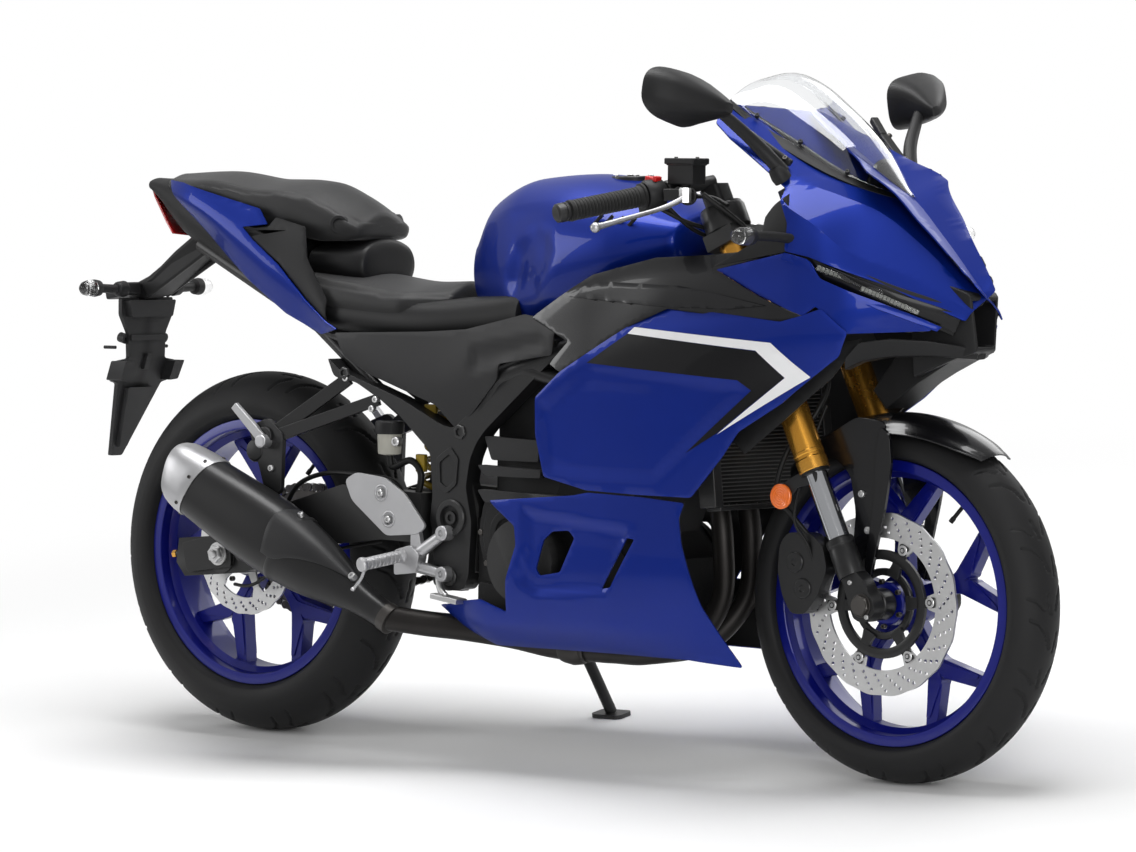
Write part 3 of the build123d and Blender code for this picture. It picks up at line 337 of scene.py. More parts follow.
def hull_mesh(stations, along, ends, fine):
    """A closed body over rows of x, foot, waist, waist height, foot height, shoulder, shoulder
    height, top, with a domed end at its back and front."""
    xs = [s[0] for s in stations]
    count = max(4, int((xs[-1] - xs[0]) / along))
    rows = []
    for k in range(count + 1):
        x = xs[0] + (xs[-1] - xs[0]) * k / count
        foot, waist, waist_z, foot_z, shoulder, shoulder_z, top = (
            through(xs, [s[i] for s in stations], x) for i in range(1, 8))
        right = [(foot * t / fine[0], foot_z) for t in range(fine[0])]
        right += arc((foot, foot_z), (waist, waist_z), (shoulder, shoulder_z), fine[1])[:-1]
        right += arc((shoulder, shoulder_z), (0.0, top), (-shoulder, shoulder_z), fine[2] * 2)[:fine[2] + 1]
        rows.append((x, right + [(-y, z) for y, z in reversed(right[1:-1])]))
    domes = []
    for (x, ring), bulge in ((rows[0], -ends[0]), (rows[-1], ends[1])):
        cy = sum(p[0] for p in ring) / len(ring)
        cz = sum(p[1] for p in ring) / len(ring)
        domes.append([(x + bulge * out, [(cy + (y - cy) * share, cz + (z - cz) * share) for y, z in ring])
                      for share, out in ((0.94, 0.45), (0.8, 0.8), (0.5, 0.96), (0.15, 1.0))])
    return rings_mesh(domes[0][::-1] + rows + domes[1])


def rings_mesh(rows):
    """A closed mesh over rings of (x, [(y, z), ...])."""
    return lofted([[(x, y, z) for y, z in ring] for x, ring in rows])


def lofted(rings):
    """A closed mesh over rings of places, capped at both ends."""
    n = len(rings[0])
    faces = loop_faces(len(rings), n)
    faces += [tuple(range(n)), tuple((len(rings) - 1) * n + k for k in reversed(range(n)))]
    return [p for ring in rings for p in ring], faces


def walled(front, back, faces):
    """A closed slab from two matching sets of places and the faces of the front one."""
    n = len(front)
    edges = {(a, b): None for f in faces for a, b in zip(f, f[1:] + f[:1])}
    rim = [(a, b) for a, b in edges if (b, a) not in edges]
    return front + back, (list(faces) + [tuple(k + n for k in reversed(f)) for f in faces]
                          + [(b, a, a + n, b + n) for a, b in rim])


def plate_mesh(outline, y, wall, holes=(), step=400.0):
    """A flat plate: side-view outline, from y towards the right by wall."""
    flat, faces = flat_mesh(outline, holes, step)
    return walled([(x, y, z) for x, z in flat], [(x, y - wall, z) for x, z in flat], faces)


def side_plate(hand, outline, near, wall, holes=(), step=400.0):
    """A plate on one side of the machine, from near its middle plane outwards by wall."""
    return plate_mesh(outline, near + wall if hand > 0 else -near, wall, holes, step)


def across(run):
    """Two directions square to a run and to each other."""
    u = run.orthogonal().normalized()
    return u, run.cross(u)


def circle(cx, cz, radius, sides):
    """A circle's outline."""
    return [(cx + radius * math.cos(2 * math.pi * k / sides), cz + radius * math.sin(2 * math.pi * k / sides))
            for k in range(sides)]


def ring_at(centre, u, v, radius, sides):
    """A circle of places about a centre, in the plane of u and v."""
    return [tuple(centre + (u * ca + v * sa) * radius) for ca, sa in circle(0, 0, 1, sides)]


def rod_mesh(start, end, radius, tip=None, sides=20):
    """A round bar between two points, tapered to tip where that is given."""
    a, b = Vector(start), Vector(end)
    u, v = across((b - a).normalized())
    return ring_at(a, u, v, radius, sides) + ring_at(b, u, v, tip or radius, sides), tube_faces(2, sides)


def turned_mesh(centre, axis, profile, sides):
    """A turned part: profile is (distance along the axis, radius) from one end to the other."""
    run = Vector(axis).normalized()
    u, v = across(run)
    points = [p for d, r in profile for p in ring_at(Vector(centre) + run * d, u, v, max(r, 0.01), sides)]
    return points, tube_faces(len(profile), sides)


def boss(hand, centre, profile, sides):
    """A turned part that points outwards on one side of the machine."""
    return turned_mesh((centre[0], hand * centre[1], centre[2]), (0, hand, 0), profile, sides)


def box_mesh(centre, size, spin=Matrix.Identity(3)):
    """A block of a size, turned about its centre."""
    c = Vector(centre)
    points = [tuple(c + spin @ Vector((sx * size[0] / 2, sy * size[1] / 2, sz * size[2] / 2)))
              for sx in (-1, 1) for sy in (-1, 1) for sz in (-1, 1)]
    return points, [(0, 1, 3, 2), (4, 6, 7, 5), (0, 4, 5, 1), (2, 3, 7, 6), (0, 2, 6, 4), (1, 5, 7, 3)]


def bar_between(hand, a, b, wide, tall, tip=1.0):
    """A block with a rectangular section between two places, scaled by tip at its far end."""
    p = Vector((a[0], hand * a[1], a[2]))
    q = Vector((b[0], hand * b[1], b[2]))
    run = (q - p).normalized()
    side = run.cross(Vector((0, 0, 1))).normalized()
    up = side.cross(run)
    points = []
    for at, k in ((p, 1.0), (q, tip)):
        points += [tuple(at + side * i * wide * k / 2 + up * j * tall * k / 2)
                   for i, j in ((-1, -1), (1, -1), (1, 1), (-1, 1))]
    return points, [(0, 1, 2, 3), (7, 6, 5, 4), (0, 4, 5, 1), (1, 5, 6, 2), (2, 6, 7, 3), (3, 7, 4, 0)]


def pipe_mesh(route, radius, sides, turns, squash=1.0):
    """A bent tube along a smooth line through a few points. Its radius is a number or a function of
    the share of its length; squash flattens it."""
    line = []
    pts = [Vector(p) for p in route]
    for i in range(len(pts) - 1):
        p0, p1, p2, p3 = pts[max(i - 1, 0)], pts[i], pts[i + 1], pts[min(i + 2, len(pts) - 1)]
        for k in range(turns):
            t = k / turns
            line.append(0.5 * (2 * p1 + (p2 - p0) * t + (2 * p0 - 5 * p1 + 4 * p2 - p3) * t ** 2
                               + (3 * p1 - p0 - 3 * p2 + p3) * t ** 3))
    line.append(pts[-1])
    points = []
    u = None
    for i, p in enumerate(line):
        run = (line[min(i + 1, len(line) - 1)] - line[max(i - 1, 0)]).normalized()
        u = run.orthogonal().normalized() if u is None else (u - run * u.dot(run)).normalized()
        r = radius(i / (len(line) - 1)) if callable(radius) else radius
        points += ring_at(p, u, run.cross(u) * squash, r, sides)
    return points, tube_faces(len(line), sides)


def solid(name, parts, finish, body="chassis", stands_for=(), bevel=0.0, creased=35.0, slot=None):
    """One piece from several closed shapes."""
    points, faces = join(parts)
    obj = piece(name, points, faces, finish, body, stands_for, creased, slot=slot)
    if bevel:
        rounded(obj, bevel)
    return obj


# ---------------------------------------------------------------- nodes

def add_node(tree, kind, values=None, **settings):
    """A new node, with its settings and the values of its inputs."""
    made = tree.nodes.new(kind)
    for label, value in settings.items():
        setattr(made, label, value)
    for label, value in (values or {}).items():
        made.inputs[label].default_value = value
    return made


def wire(tree, *links):
    """Joins sockets; each link is (node, output, node, input)."""
    for source, out, target, into in links:
        tree.links.new(source.outputs[out], target.inputs[into])


def node_group(name, kind, given, made):
    """A node group with its (label, socket kind) inputs and outputs, and the nodes that hold them."""
    group = bpy.data.node_groups.new(name, kind)
    for sockets, way in ((given, "INPUT"), (made, "OUTPUT")):
        for label, socket in sockets:
            group.interface.new_socket(label, in_out=way, socket_type="NodeSocket" + socket)
    return group, group.nodes.new("NodeGroupInput"), group.nodes.new("NodeGroupOutput")


def set_inputs(modifier, values):
    """Sets a geometry node modifier's inputs by their labels."""
    for item in modifier.node_group.interface.items_tree:
        if item.in_out == "INPUT" and item.name in values:
            modifier[item.identifier] = values[item.name]


# ---------------------------------------------------------------- repeated pieces

def scatter_tree():
    """Geometry nodes: a small part copied onto points, facing and sized by their attributes."""
    tree, given, made = node_group("parts on points", "GeometryNodeTree",
                                   (("Geometry", "Geometry"), ("Part", "Object"), ("Size", "Float"),
                                    ("Finish", "Material")), (("Geometry", "Geometry"),))
    named = "GeometryNodeInputNamedAttribute"
    facing = add_node(tree, named, {"Name": "facing"}, data_type="FLOAT_VECTOR")
    along = add_node(tree, named, {"Name": "along"}, data_type="FLOAT_VECTOR")
    size = add_node(tree, named, {"Name": "size"}, data_type="FLOAT")
    turn = add_node(tree, "FunctionNodeAxesToRotation", primary_axis="Z", secondary_axis="X")
    scale = add_node(tree, "ShaderNodeMath", operation="MULTIPLY")
    part = add_node(tree, "GeometryNodeObjectInfo")
    copies = add_node(tree, "GeometryNodeInstanceOnPoints")
    real = add_node(tree, "GeometryNodeRealizeInstances")
    paint = add_node(tree, "GeometryNodeSetMaterial")
    wire(tree, (facing, "Attribute", turn, "Primary Axis"), (along, "Attribute", turn, "Secondary Axis"),
         (size, "Attribute", scale, 0), (given, "Size", scale, 1), (given, "Part", part, "Object"),
         (given, "Geometry", copies, "Points"), (part, "Geometry", copies, "Instance"),
         (turn, "Rotation", copies, "Rotation"), (scale, 0, copies, "Scale"),
         (copies, "Instances", real, "Geometry"), (real, "Geometry", paint, "Geometry"),
         (given, "Finish", paint, "Material"), (paint, "Geometry", made, "Geometry"))
    return tree


def scatter(name, spots, part, finish, body="chassis", stands_for=()):
    """Copies of a part, (points, faces) in mm about its own centre with +Z outwards, at spots of
    (place, facing, along, size) on the upright machine."""
    seed = bpy.data.meshes.new(name + " part")
    seed.from_pydata([Vector(p) / 1000 for p in part[0]], [], part[1])
    seed_obj = bpy.data.objects.new(name + " part", seed)
    cloud = bpy.data.meshes.new(name)
    cloud.from_pydata([stand_at(*s[0]) for s in spots], [], [])
    for label, place in (("facing", 1), ("along", 2)):
        layer = cloud.attributes.new(label, "FLOAT_VECTOR", "POINT")
        layer.data.foreach_set("vector", [v for s in spots for v in turned(s[place])])
    cloud.attributes.new("size", "FLOAT", "POINT").data.foreach_set("value", [s[3] for s in spots])
    obj = bpy.data.objects.new(name, cloud)
    bpy.context.scene.collection.objects.link(obj)
    nodes = obj.modifiers.new("parts", "NODES")
    nodes.node_group = on_points
    set_inputs(nodes, {"Part": seed_obj, "Size": 1.0, "Finish": finish})
    bpy.context.view_layer.update()
    baked = bpy.data.meshes.new_from_object(obj.evaluated_get(bpy.context.evaluated_depsgraph_get()))
    obj.modifiers.remove(nodes)
    obj.data = baked
    baked.name = name
    if not baked.materials:
        baked.materials.append(finish)
    bpy.data.objects.remove(seed_obj)
    settle(obj, body, stands_for)
    shade(obj, 30.0)


on_points = scatter_tree()


# ---------------------------------------------------------------- finishes

def grain_group():
    """Shader group: fine grain, broad unevenness and rubbed edges, as masks."""
    group, given, made = node_group("grain and wear", "ShaderNodeTree",
                                    (("Grain size", "Float"), ("Patch size", "Float"), ("Wear", "Float")),
                                    (("Grain", "Float"), ("Patches", "Float"), ("Edges", "Float")))
    place = add_node(group, "ShaderNodeTexCoord")
    fine = add_node(group, "ShaderNodeTexNoise", {"Detail": 4.0})
    broad = add_node(group, "ShaderNodeTexNoise", {"Detail": 5.0, "Roughness": 0.62})
    shape = add_node(group, "ShaderNodeNewGeometry")
    ridge = add_node(group, "ShaderNodeMapRange", {"From Min": 0.52, "From Max": 0.62})
    rubbed = add_node(group, "ShaderNodeMath", operation="MULTIPLY")
    wire(group, (place, "Object", fine, "Vector"), (given, "Grain size", fine, "Scale"),
         (fine, "Fac", made, "Grain"), (place, "Object", broad, "Vector"),
         (given, "Patch size", broad, "Scale"), (broad, "Fac", made, "Patches"),
         (shape, "Pointiness", ridge, "Value"), (ridge, "Result", rubbed, 0), (given, "Wear", rubbed, 1),
         (rubbed, 0, made, "Edges"))
    return group


grain_and_wear = grain_group()


def blank(name, **values):
    """A new material: its node tree, its shader with some values set, and the masks of its grain."""
    made_of = bpy.data.materials.new(name)
    made_of.use_nodes = True
    shader = made_of.node_tree.nodes["Principled BSDF"]
    for label, value in values.items():
        shader.inputs[label.replace("_", " ")].default_value = value
    masks = add_node(made_of.node_tree, "ShaderNodeGroup", node_tree=grain_and_wear)
    return made_of, made_of.node_tree, shader, masks


def finish(name, colour, rough, metal=0.0, coat=0.0, coat_rough=0.04, grain=600.0, bump=0.0, patch=9.0,
           uneven=0.12, rough_swing=0.08, wear=0.0, worn=None, level=0.25, sheen=0.0):
    """A finish: colour that varies a little over the piece, roughness and bump from its grain,
    and paler rubbed edges."""
    made_of, tree, shader, masks = blank(name, Metallic=metal, Coat_Weight=coat, Coat_Roughness=coat_rough,
                                         Specular_IOR_Level=level, Sheen_Weight=sheen)
    for label, value in (("Grain size", grain), ("Patch size", patch), ("Wear", wear)):
        masks.inputs[label].default_value = value
    dark = (*[c * (1 - uneven) for c in colour], 1)
    pale = (*[min(1.0, c * (1 + uneven)) for c in colour], 1)
    rubbed = (*(worn or [min(1.0, c * 1.6 + 0.02) for c in colour]), 1)
    tone = add_node(tree, "ShaderNodeMix", {"A": dark, "B": pale}, data_type="RGBA")
    rub = add_node(tree, "ShaderNodeMix", {"B": rubbed}, data_type="RGBA")
    dull = add_node(tree, "ShaderNodeMapRange", {"To Min": max(0.0, rough - rough_swing),
                                                 "To Max": min(1.0, rough + rough_swing)})
    wire(tree, (masks, "Patches", tone, "Factor"), (masks, "Edges", rub, "Factor"),
         (tone, "Result", rub, "A"), (rub, "Result", shader, "Base Color"),
         (masks, "Patches", dull, "Value"), (dull, "Result", shader, "Roughness"))
    if bump:
        relief = add_node(tree, "ShaderNodeBump", {"Strength": 0.6, "Distance": bump / 1000})
        wire(tree, (masks, "Grain", relief, "Height"), (relief, "Normal", shader, "Normal"))
    return made_of


def clear(name, colour, rough):
    """A clear or tinted moulding."""
    made_of, tree, shader, masks = blank(name, Transmission_Weight=1.0, IOR=1.49)
    masks.inputs["Patch size"].default_value = 14.0
    tone = add_node(tree, "ShaderNodeMix", {"A": (*[c * 0.97 for c in colour], 1), "B": (*colour, 1)},
                    data_type="RGBA")
    dull = add_node(tree, "ShaderNodeMapRange", {"To Min": rough, "To Max": rough + 0.03})
    wire(tree, (masks, "Patches", tone, "Factor"), (tone, "Result", shader, "Base Color"),
         (masks, "Patches", dull, "Value"), (dull, "Result", shader, "Roughness"))
    return made_of


blue_paint = finish("blue metallic lacquer", (0.002, 0.018, 0.215), 0.4, metal=0.45, level=0.12, coat=0.28,
                    coat_rough=0.03, grain=2600, bump=0.02, uneven=0.05, rough_swing=0.04, wear=0.1,
                    worn=(0.02, 0.05, 0.4))
wheel_blue = finish("blue wheel lacquer", (0.002, 0.005, 0.17), 0.36, metal=0.2, coat=0.35, coat_rough=0.06,
                    grain=1800, bump=0.03, uneven=0.08, wear=0.25, worn=(0.015, 0.03, 0.35))
white_film = finish("white stripe film", (0.86, 0.86, 0.87), 0.3, coat=0.8, uneven=0.02, rough_swing=0.03)
black_film = finish("black stripe film", (0.003, 0.003, 0.004), 0.3, coat=0.2, level=0.2, uneven=0.2,
                    rough_swing=0.03)
gloss_black = finish("gloss black lacquer", (0.004, 0.004, 0.005), 0.24, coat=0.36, level=0.25,
                     coat_rough=0.04, uneven=0.15, rough_swing=0.05, wear=0.1)
trim_black = finish("moulded black plastic", (0.008, 0.008, 0.0085), 0.5, grain=1500, bump=0.12, uneven=0.2,
                    rough_swing=0.1, wear=0.35, worn=(0.05, 0.05, 0.052))
trim_grey = finish("moulded grey plastic", (0.020, 0.020, 0.021), 0.46, grain=1400, bump=0.12, uneven=0.12,
                   rough_swing=0.08, wear=0.3, worn=(0.09, 0.09, 0.092))
frame_black = finish("satin black enamel", (0.0075, 0.0075, 0.008), 0.42, coat=0.25, coat_rough=0.25,
                     grain=900, bump=0.1, uneven=0.2, rough_swing=0.08, wear=0.5, worn=(0.06, 0.06, 0.06))
engine_black = finish("cast engine enamel", (0.010, 0.010, 0.0105), 0.5, metal=0.3, grain=500, bump=0.5,
                      uneven=0.3, rough_swing=0.12, wear=0.6, worn=(0.10, 0.10, 0.10))
fork_gold = finish("gold anodised tube", (0.62, 0.30, 0.045), 0.26, metal=0.9, grain=1600, bump=0.03,
                   uneven=0.1, rough_swing=0.06, wear=0.2, worn=(0.8, 0.55, 0.2))
# The hard chrome's colour is set dimmer than bright chrome so that the fork stanchions come out dark: partly
# painted shade, standing in for the dark surroundings they reflect.
chrome = finish("hard chrome", (0.48, 0.49, 0.51), 0.1, metal=1.0, uneven=0.05, rough_swing=0.03)
brushed = finish("ground steel", (0.5, 0.5, 0.5), 0.34, metal=0.9, grain=2200, bump=0.12, uneven=0.12,
                 rough_swing=0.1, wear=0.3)
cast_silver = finish("cast aluminium", (0.42, 0.42, 0.43), 0.4, metal=0.85, grain=900, bump=0.3, uneven=0.15,
                     rough_swing=0.1, wear=0.4, worn=(0.7, 0.7, 0.7))
dark_steel = finish("blued steel", (0.028, 0.026, 0.025), 0.42, metal=0.8, grain=500, bump=0.2, uneven=0.35,
                    rough_swing=0.12, wear=0.4, worn=(0.18, 0.17, 0.16))
tyre_rubber = finish("tyre rubber", (0.010, 0.010, 0.0105), 0.6, grain=1200, bump=0.25, patch=14, uneven=0.25,
                     rough_swing=0.1, wear=0.2, worn=(0.05, 0.05, 0.05))
grip_rubber = finish("grip rubber", (0.008, 0.008, 0.008), 0.62, grain=1500, bump=0.3, uneven=0.2, sheen=0.1)
seat_vinyl = finish("grained seat cover", (0.010, 0.010, 0.0105), 0.5, grain=950, bump=0.5, patch=12,
                    uneven=0.2, rough_swing=0.08, wear=0.2, worn=(0.05, 0.05, 0.05), sheen=0.12)
seat_smooth = finish("smooth seat cover", (0.008, 0.008, 0.0085), 0.4, grain=1500, bump=0.15, patch=12,
                     uneven=0.2, rough_swing=0.06)
hose_rubber = finish("hose rubber", (0.007, 0.007, 0.007), 0.45, grain=1400, bump=0.1, uneven=0.2)
fin_grey = finish("radiator fin metal", (0.10, 0.10, 0.098), 0.5, metal=0.5, grain=1500, bump=0.2,
                  uneven=0.25)
cup_plastic = finish("cloudy reservoir", (0.42, 0.41, 0.36), 0.4, grain=800, bump=0.05, uneven=0.1, patch=20)
red_plastic = finish("red switch", (0.55, 0.012, 0.012), 0.35, coat=0.4, uneven=0.08)
amber_lens = finish("amber reflector", (0.85, 0.16, 0.01), 0.18, coat=1.0, grain=500, bump=0.6, uneven=0.15)
red_lens = finish("red tail lens", (0.45, 0.008, 0.008), 0.12, coat=1.0, grain=420, bump=0.4, uneven=0.15)
lamp_lens = clear("clear lamp lens", (0.95, 0.95, 0.95), 0.03)
screen_clear = clear("clear screen", (0.93, 0.94, 0.95), 0.01)
mirror_glass = finish("mirror glass", (0.8, 0.8, 0.82), 0.03, metal=1.0, uneven=0.02, rough_swing=0.01)
lamp_bar = finish("ribbed lamp bar", (0.15, 0.155, 0.145), 0.35, metal=0.4, uneven=0.2)
tag_yellow = finish("yellow tag plastic", (0.32, 0.22, 0.02), 0.4, uneven=0.1)


# ---------------------------------------------------------------- camera, light and floor

camera_turn, camera_rise, camera_roll = (math.radians(v) for v in (39.53, 2.46, 0.43))
camera_aim, camera_distance = Vector((-19.35, 0, 555.2)), 10828.7
sensor_width, focal_share = 36.0, 6428.4 / 1136


def camera():
    """The camera, placed in the upright machine's frame and leaned with it."""
    cam = bpy.data.objects.new("camera", bpy.data.cameras.new("camera"))
    bpy.context.scene.collection.objects.link(cam)
    back = Vector((math.sin(camera_turn) * math.cos(camera_rise),
                   -math.cos(camera_turn) * math.cos(camera_rise), math.sin(camera_rise)))
    right = (-back).cross(Vector((0, 0, 1))).normalized()
    up = right.cross(-back)
    level = right * math.cos(camera_roll) + up * math.sin(camera_roll)
    upright = up * math.cos(camera_roll) - right * math.sin(camera_roll)
    axes = Matrix([turned(level), turned(upright), turned(back)]).transposed().to_4x4()
    cam.matrix_world = Matrix.Translation(stand_at(*(camera_aim + back * camera_distance))) @ axes
    cam.data.sensor_width = sensor_width
    cam.data.lens = focal_share * sensor_width
    cam.data.clip_start, cam.data.clip_end = 0.1, 200.0
    bpy.context.scene.camera = cam
    bpy.context.scene.view_settings.view_transform = "Standard"


def pale_floor():
    """A pale floor that keeps the shadow near the machine and is plain white further out."""
    made_of = bpy.data.materials.new("pale floor")
    made_of.use_nodes = True
    tree = made_of.node_tree
    shader = tree.nodes["Principled BSDF"]
    for label, value in (("Base Color", (0.93, 0.93, 0.93, 1)), ("Roughness", 0.9),
                         ("Specular IOR Level", 0.1)):
        shader.inputs[label].default_value = value
    near = add_node(tree, "ShaderNodeTexCoord")
    far = add_node(tree, "ShaderNodeVectorMath", operation="LENGTH")
    fade = add_node(tree, "ShaderNodeMapRange", {"From Min": 1.2, "From Max": 2.6},
                    interpolation_type="SMOOTHSTEP")
    white = add_node(tree, "ShaderNodeEmission", {"Color": (1, 1, 1, 1), "Strength": 1.0})
    path = add_node(tree, "ShaderNodeLightPath")
    either = add_node(tree, "ShaderNodeMath", operation="MAXIMUM")
    share = add_node(tree, "ShaderNodeMath", operation="MULTIPLY")
    mix = add_node(tree, "ShaderNodeMixShader")
    wire(tree, (path, "Is Camera Ray", either, 0), (path, "Is Transmission Ray", either, 1),
         (near, "Object", far, 0), (far, "Value", fade, "Value"), (fade, "Result", share, 0),
         (either, 0, share, 1), (share, 0, mix, 0), (shader, 0, mix, 1), (white, 0, mix, 2),
         (mix, 0, tree.nodes["Material Output"], "Surface"))
    half, below = 40, -0.0005
    floor = bpy.data.meshes.new("floor")
    corners = ((-half, -half), (half, -half), (half, half), (-half, half))
    floor.from_pydata([(x, y, below) for x, y in corners], [], [(0, 1, 2, 3)])
    floor.materials.append(made_of)
    ground = bpy.data.objects.new("floor", floor)
    bpy.context.scene.collection.objects.link(ground)


def backdrop():
    """A white backdrop, dimmer for the light it gives and for what shines in gloss."""
    world = bpy.data.worlds.new("studio")
    bpy.context.scene.world = world
    world.use_nodes = True
    tree = world.node_tree
    sky = tree.nodes["Background"]
    sky.inputs["Color"].default_value = (1, 1, 1, 1)
    path = add_node(tree, "ShaderNodeLightPath")
    seen = add_node(tree, "ShaderNodeMath", operation="MAXIMUM")
    glossy = add_node(tree, "ShaderNodeMath", {1: 0.4}, operation="MULTIPLY")
    either = add_node(tree, "ShaderNodeMath", operation="MAXIMUM")
    strength = add_node(tree, "ShaderNodeMapRange", {"To Min": 0.24, "To Max": 1.0})
    wire(tree, (path, "Is Camera Ray", seen, 0), (path, "Is Transmission Ray", seen, 1),
         (path, "Is Glossy Ray", glossy, 0), (seen, 0, either, 0), (glossy, 0, either, 1),
         (either, 0, strength, "Value"), (strength, "Result", sky, "Strength"))


def softbox(name, place, aim, size, power):
    """A rectangular lamp in metres, aimed at a place."""
    lamp = bpy.data.lights.new(name, "AREA")
    lamp.shape = "RECTANGLE"
    lamp.size, lamp.size_y = size
    lamp.energy = power
    obj = bpy.data.objects.new(name, lamp)
    bpy.context.scene.collection.objects.link(obj)
    obj.location = place
    obj.rotation_mode = "QUATERNION"
    obj.rotation_quaternion = (Vector(aim) - Vector(place)).to_track_quat("-Z", "Y")


camera()
pale_floor()
backdrop()
softbox("overhead softbox", (0.0, 0.2, 3.2), (0, 0, 0.5), (3.4, 1.2), 104)
softbox("front softbox", (3.6, -2.6, 1.7), (0.3, 0, 0.6), (1.6, 2.2), 60)
softbox("rear softbox", (-3.4, -2.2, 1.9), (-0.3, 0, 0.6), (1.4, 2.0), 38)
softbox("far fill", (0.5, 3.4, 2.0), (0, 0, 0.5), (3.0, 1.6), 34)


# ---------------------------------------------------------------- panels

side_rows = [(60, [(196, 770), (212, 640), (205, 550), (196, 440)]),
             (300, [(202, 790), (222, 690), (214, 560), (200, 440)]),
             (450, [(204, 800), (222, 730), (210, 600), (190, 440)]),
             (600, [(202, 800), (212, 740), (194, 640), (178, 540)]),
             (770, [(144, 800), (142, 740), (132, 680), (124, 600)])]
side_edge = [(84, 612), (139, 655), (289, 737), (367, 768), (503, 757), (593, 748), (629, 758), (660, 770),
             (700, 732), (684, 694), (640, 660), (583, 616), (501, 568), (468, 527), (401, 458), (292, 459),
             (185, 462), (94, 481), (80, 551)]
inner_field = [(84, 600), (200, 673), (507, 652), (531, 636), (400, 533), (330, 480), (190, 480), (96, 490)]
panel("side_fairings", side_rows, side_edge, blue_paint, stands_for=["side_fairings"],
      dents=[(inner_field, 4.0, 16.0)])
black_field = [(285, 722), (546, 700), (593, 658), (461, 565), (398, 531), (531, 636), (507, 652), (200, 672)]
white_stripe = [(298, 733), (575, 714), (637, 660), (461, 563), (594, 658), (546, 701), (285, 722)]
panel("black_stripes", side_rows, black_field, black_film, wall=0, lift=0.5, corner=1.0,
      dents=[(inner_field, 4.0, 16.0)])
panel("white_stripes", side_rows, white_stripe, white_film, wall=0, lift=0.7, corner=1.0,
      dents=[(inner_field, 4.0, 16.0)])

belly_rows = [(-200, [(150, 445), (146, 330), (124, 240), (80, 176)]),
              (-50, [(184, 445), (182, 330), (168, 240), (116, 176)]),
              (200, [(196, 445), (190, 330), (172, 240), (122, 176)]),
              (360, [(188, 445), (182, 330), (160, 240), (126, 176)]),
              (480, [(166, 445), (154, 330), (126, 240), (104, 176)])]
belly_edge = [(-36, 436), (153, 452), (185, 458), (292, 455), (379, 448), (368, 423), (372, 380),
              (400, 279), (446, 179), (347, 188), (196, 190), (78, 190), (-64, 190), (-112, 212),
              (-186, 252), (-147, 256), (-107, 264), (-65, 269), (-8, 250), (-2, 304), (24, 364), (21, 396),
              (-24, 426)]
oval_vent = [(101, 390), (137, 393), (149, 381), (115, 323), (70, 315), (62, 326), (81, 375)]
slot_vent = [(262, 387), (280, 385), (226, 303), (203, 300)]
step_field = [(40, 425), (289, 402), (270, 390), (214, 292), (60, 280), (20, 300), (40, 364)]
panel("belly_fairings", belly_rows, belly_edge, blue_paint, stands_for=["belly_fairing"],
      holes=[oval_vent, slot_vent], dents=[(step_field, 7.0, 12.0)], step=9.0)

nose_rows = [(425, [(124, 1100), (165, 1088), (204, 1072), (212, 1000)]),
             (480, [(112, 1062), (160, 1048), (206, 1020), (213, 935)]),
             (590, [(84, 992), (146, 972), (204, 938), (211, 850)]),
             (640, [(46, 972), (116, 950), (184, 902), (195, 846)]),
             (690, [(6, 950), (84, 926), (152, 856), (172, 816)]),
             (760, [(4, 884), (52, 868), (96, 822), (118, 788)]),
             (842, [(4, 792), (20, 782), (40, 768), (54, 748)])]
nose_edge = [(425, 1096), (440, 1066), (470, 1040), (577, 962), (600, 905), (598, 861), (637, 852),
             (740, 808), (791, 779), (842, 752), (850, 800), (700, 975), (500, 1085)]
panel("nose_fairing", nose_rows, nose_edge, blue_paint, stands_for=["nose_fairing"], step=8.0,
      corner=4.0, folded=True)

cheek_edge = [(458, 829), (598, 858), (638, 848), (656, 818), (740, 780), (800, 750), (800, 736), (688, 730),
              (651, 774), (631, 758), (540, 792)]
cheek_rows = [(450, [(206, 860), (206, 830), (212, 780), (218, 740)]),
              (600, [(207, 860), (204, 820), (206, 780), (212, 740)]),
              (680, [(184, 860), (180, 820), (182, 780), (178, 735)]),
              (745, [(140, 830), (136, 800), (134, 775), (126, 735)]),
              (805, [(88, 800), (86, 775), (84, 750), (78, 725)])]
panel("cheek_panels", cheek_rows, cheek_edge, blue_paint, step=8.0, corner=4.0, lift=1.0)

tail_rows = [(-930, [(44, 966), (54, 958), (44, 948)]), (-780, [(104, 950), (113, 922), (95, 890)]),
             (-650, [(110, 912), (124, 858), (108, 795)]), (-590, [(112, 886), (127, 822), (110, 752)]),
             (-520, [(114, 880), (129, 790), (112, 712)]), (-452, [(120, 790), (136, 738), (122, 698)])]
tail_edge = [(-868, 962), (-818, 958), (-627, 915), (-604, 888), (-655, 883), (-630, 862), (-566, 819),
             (-500, 758), (-448, 722), (-420, 711), (-472, 701), (-560, 735), (-651, 791), (-747, 862),
             (-820, 915)]
panel("tail_cowls", tail_rows, tail_edge, blue_paint, stands_for=["tail_cowls"], step=8.0,
      corner=3.0)
under_edge = [(-560, 878), (-655, 878), (-604, 884), (-590, 900), (-520, 885), (-505, 830), (-452, 760),
              (-452, 722), (-500, 760), (-566, 822), (-640, 866)]
panel("tail_inner_panels", tail_rows, under_edge, trim_black, step=9.0, corner=3.0, lift=-4.0)

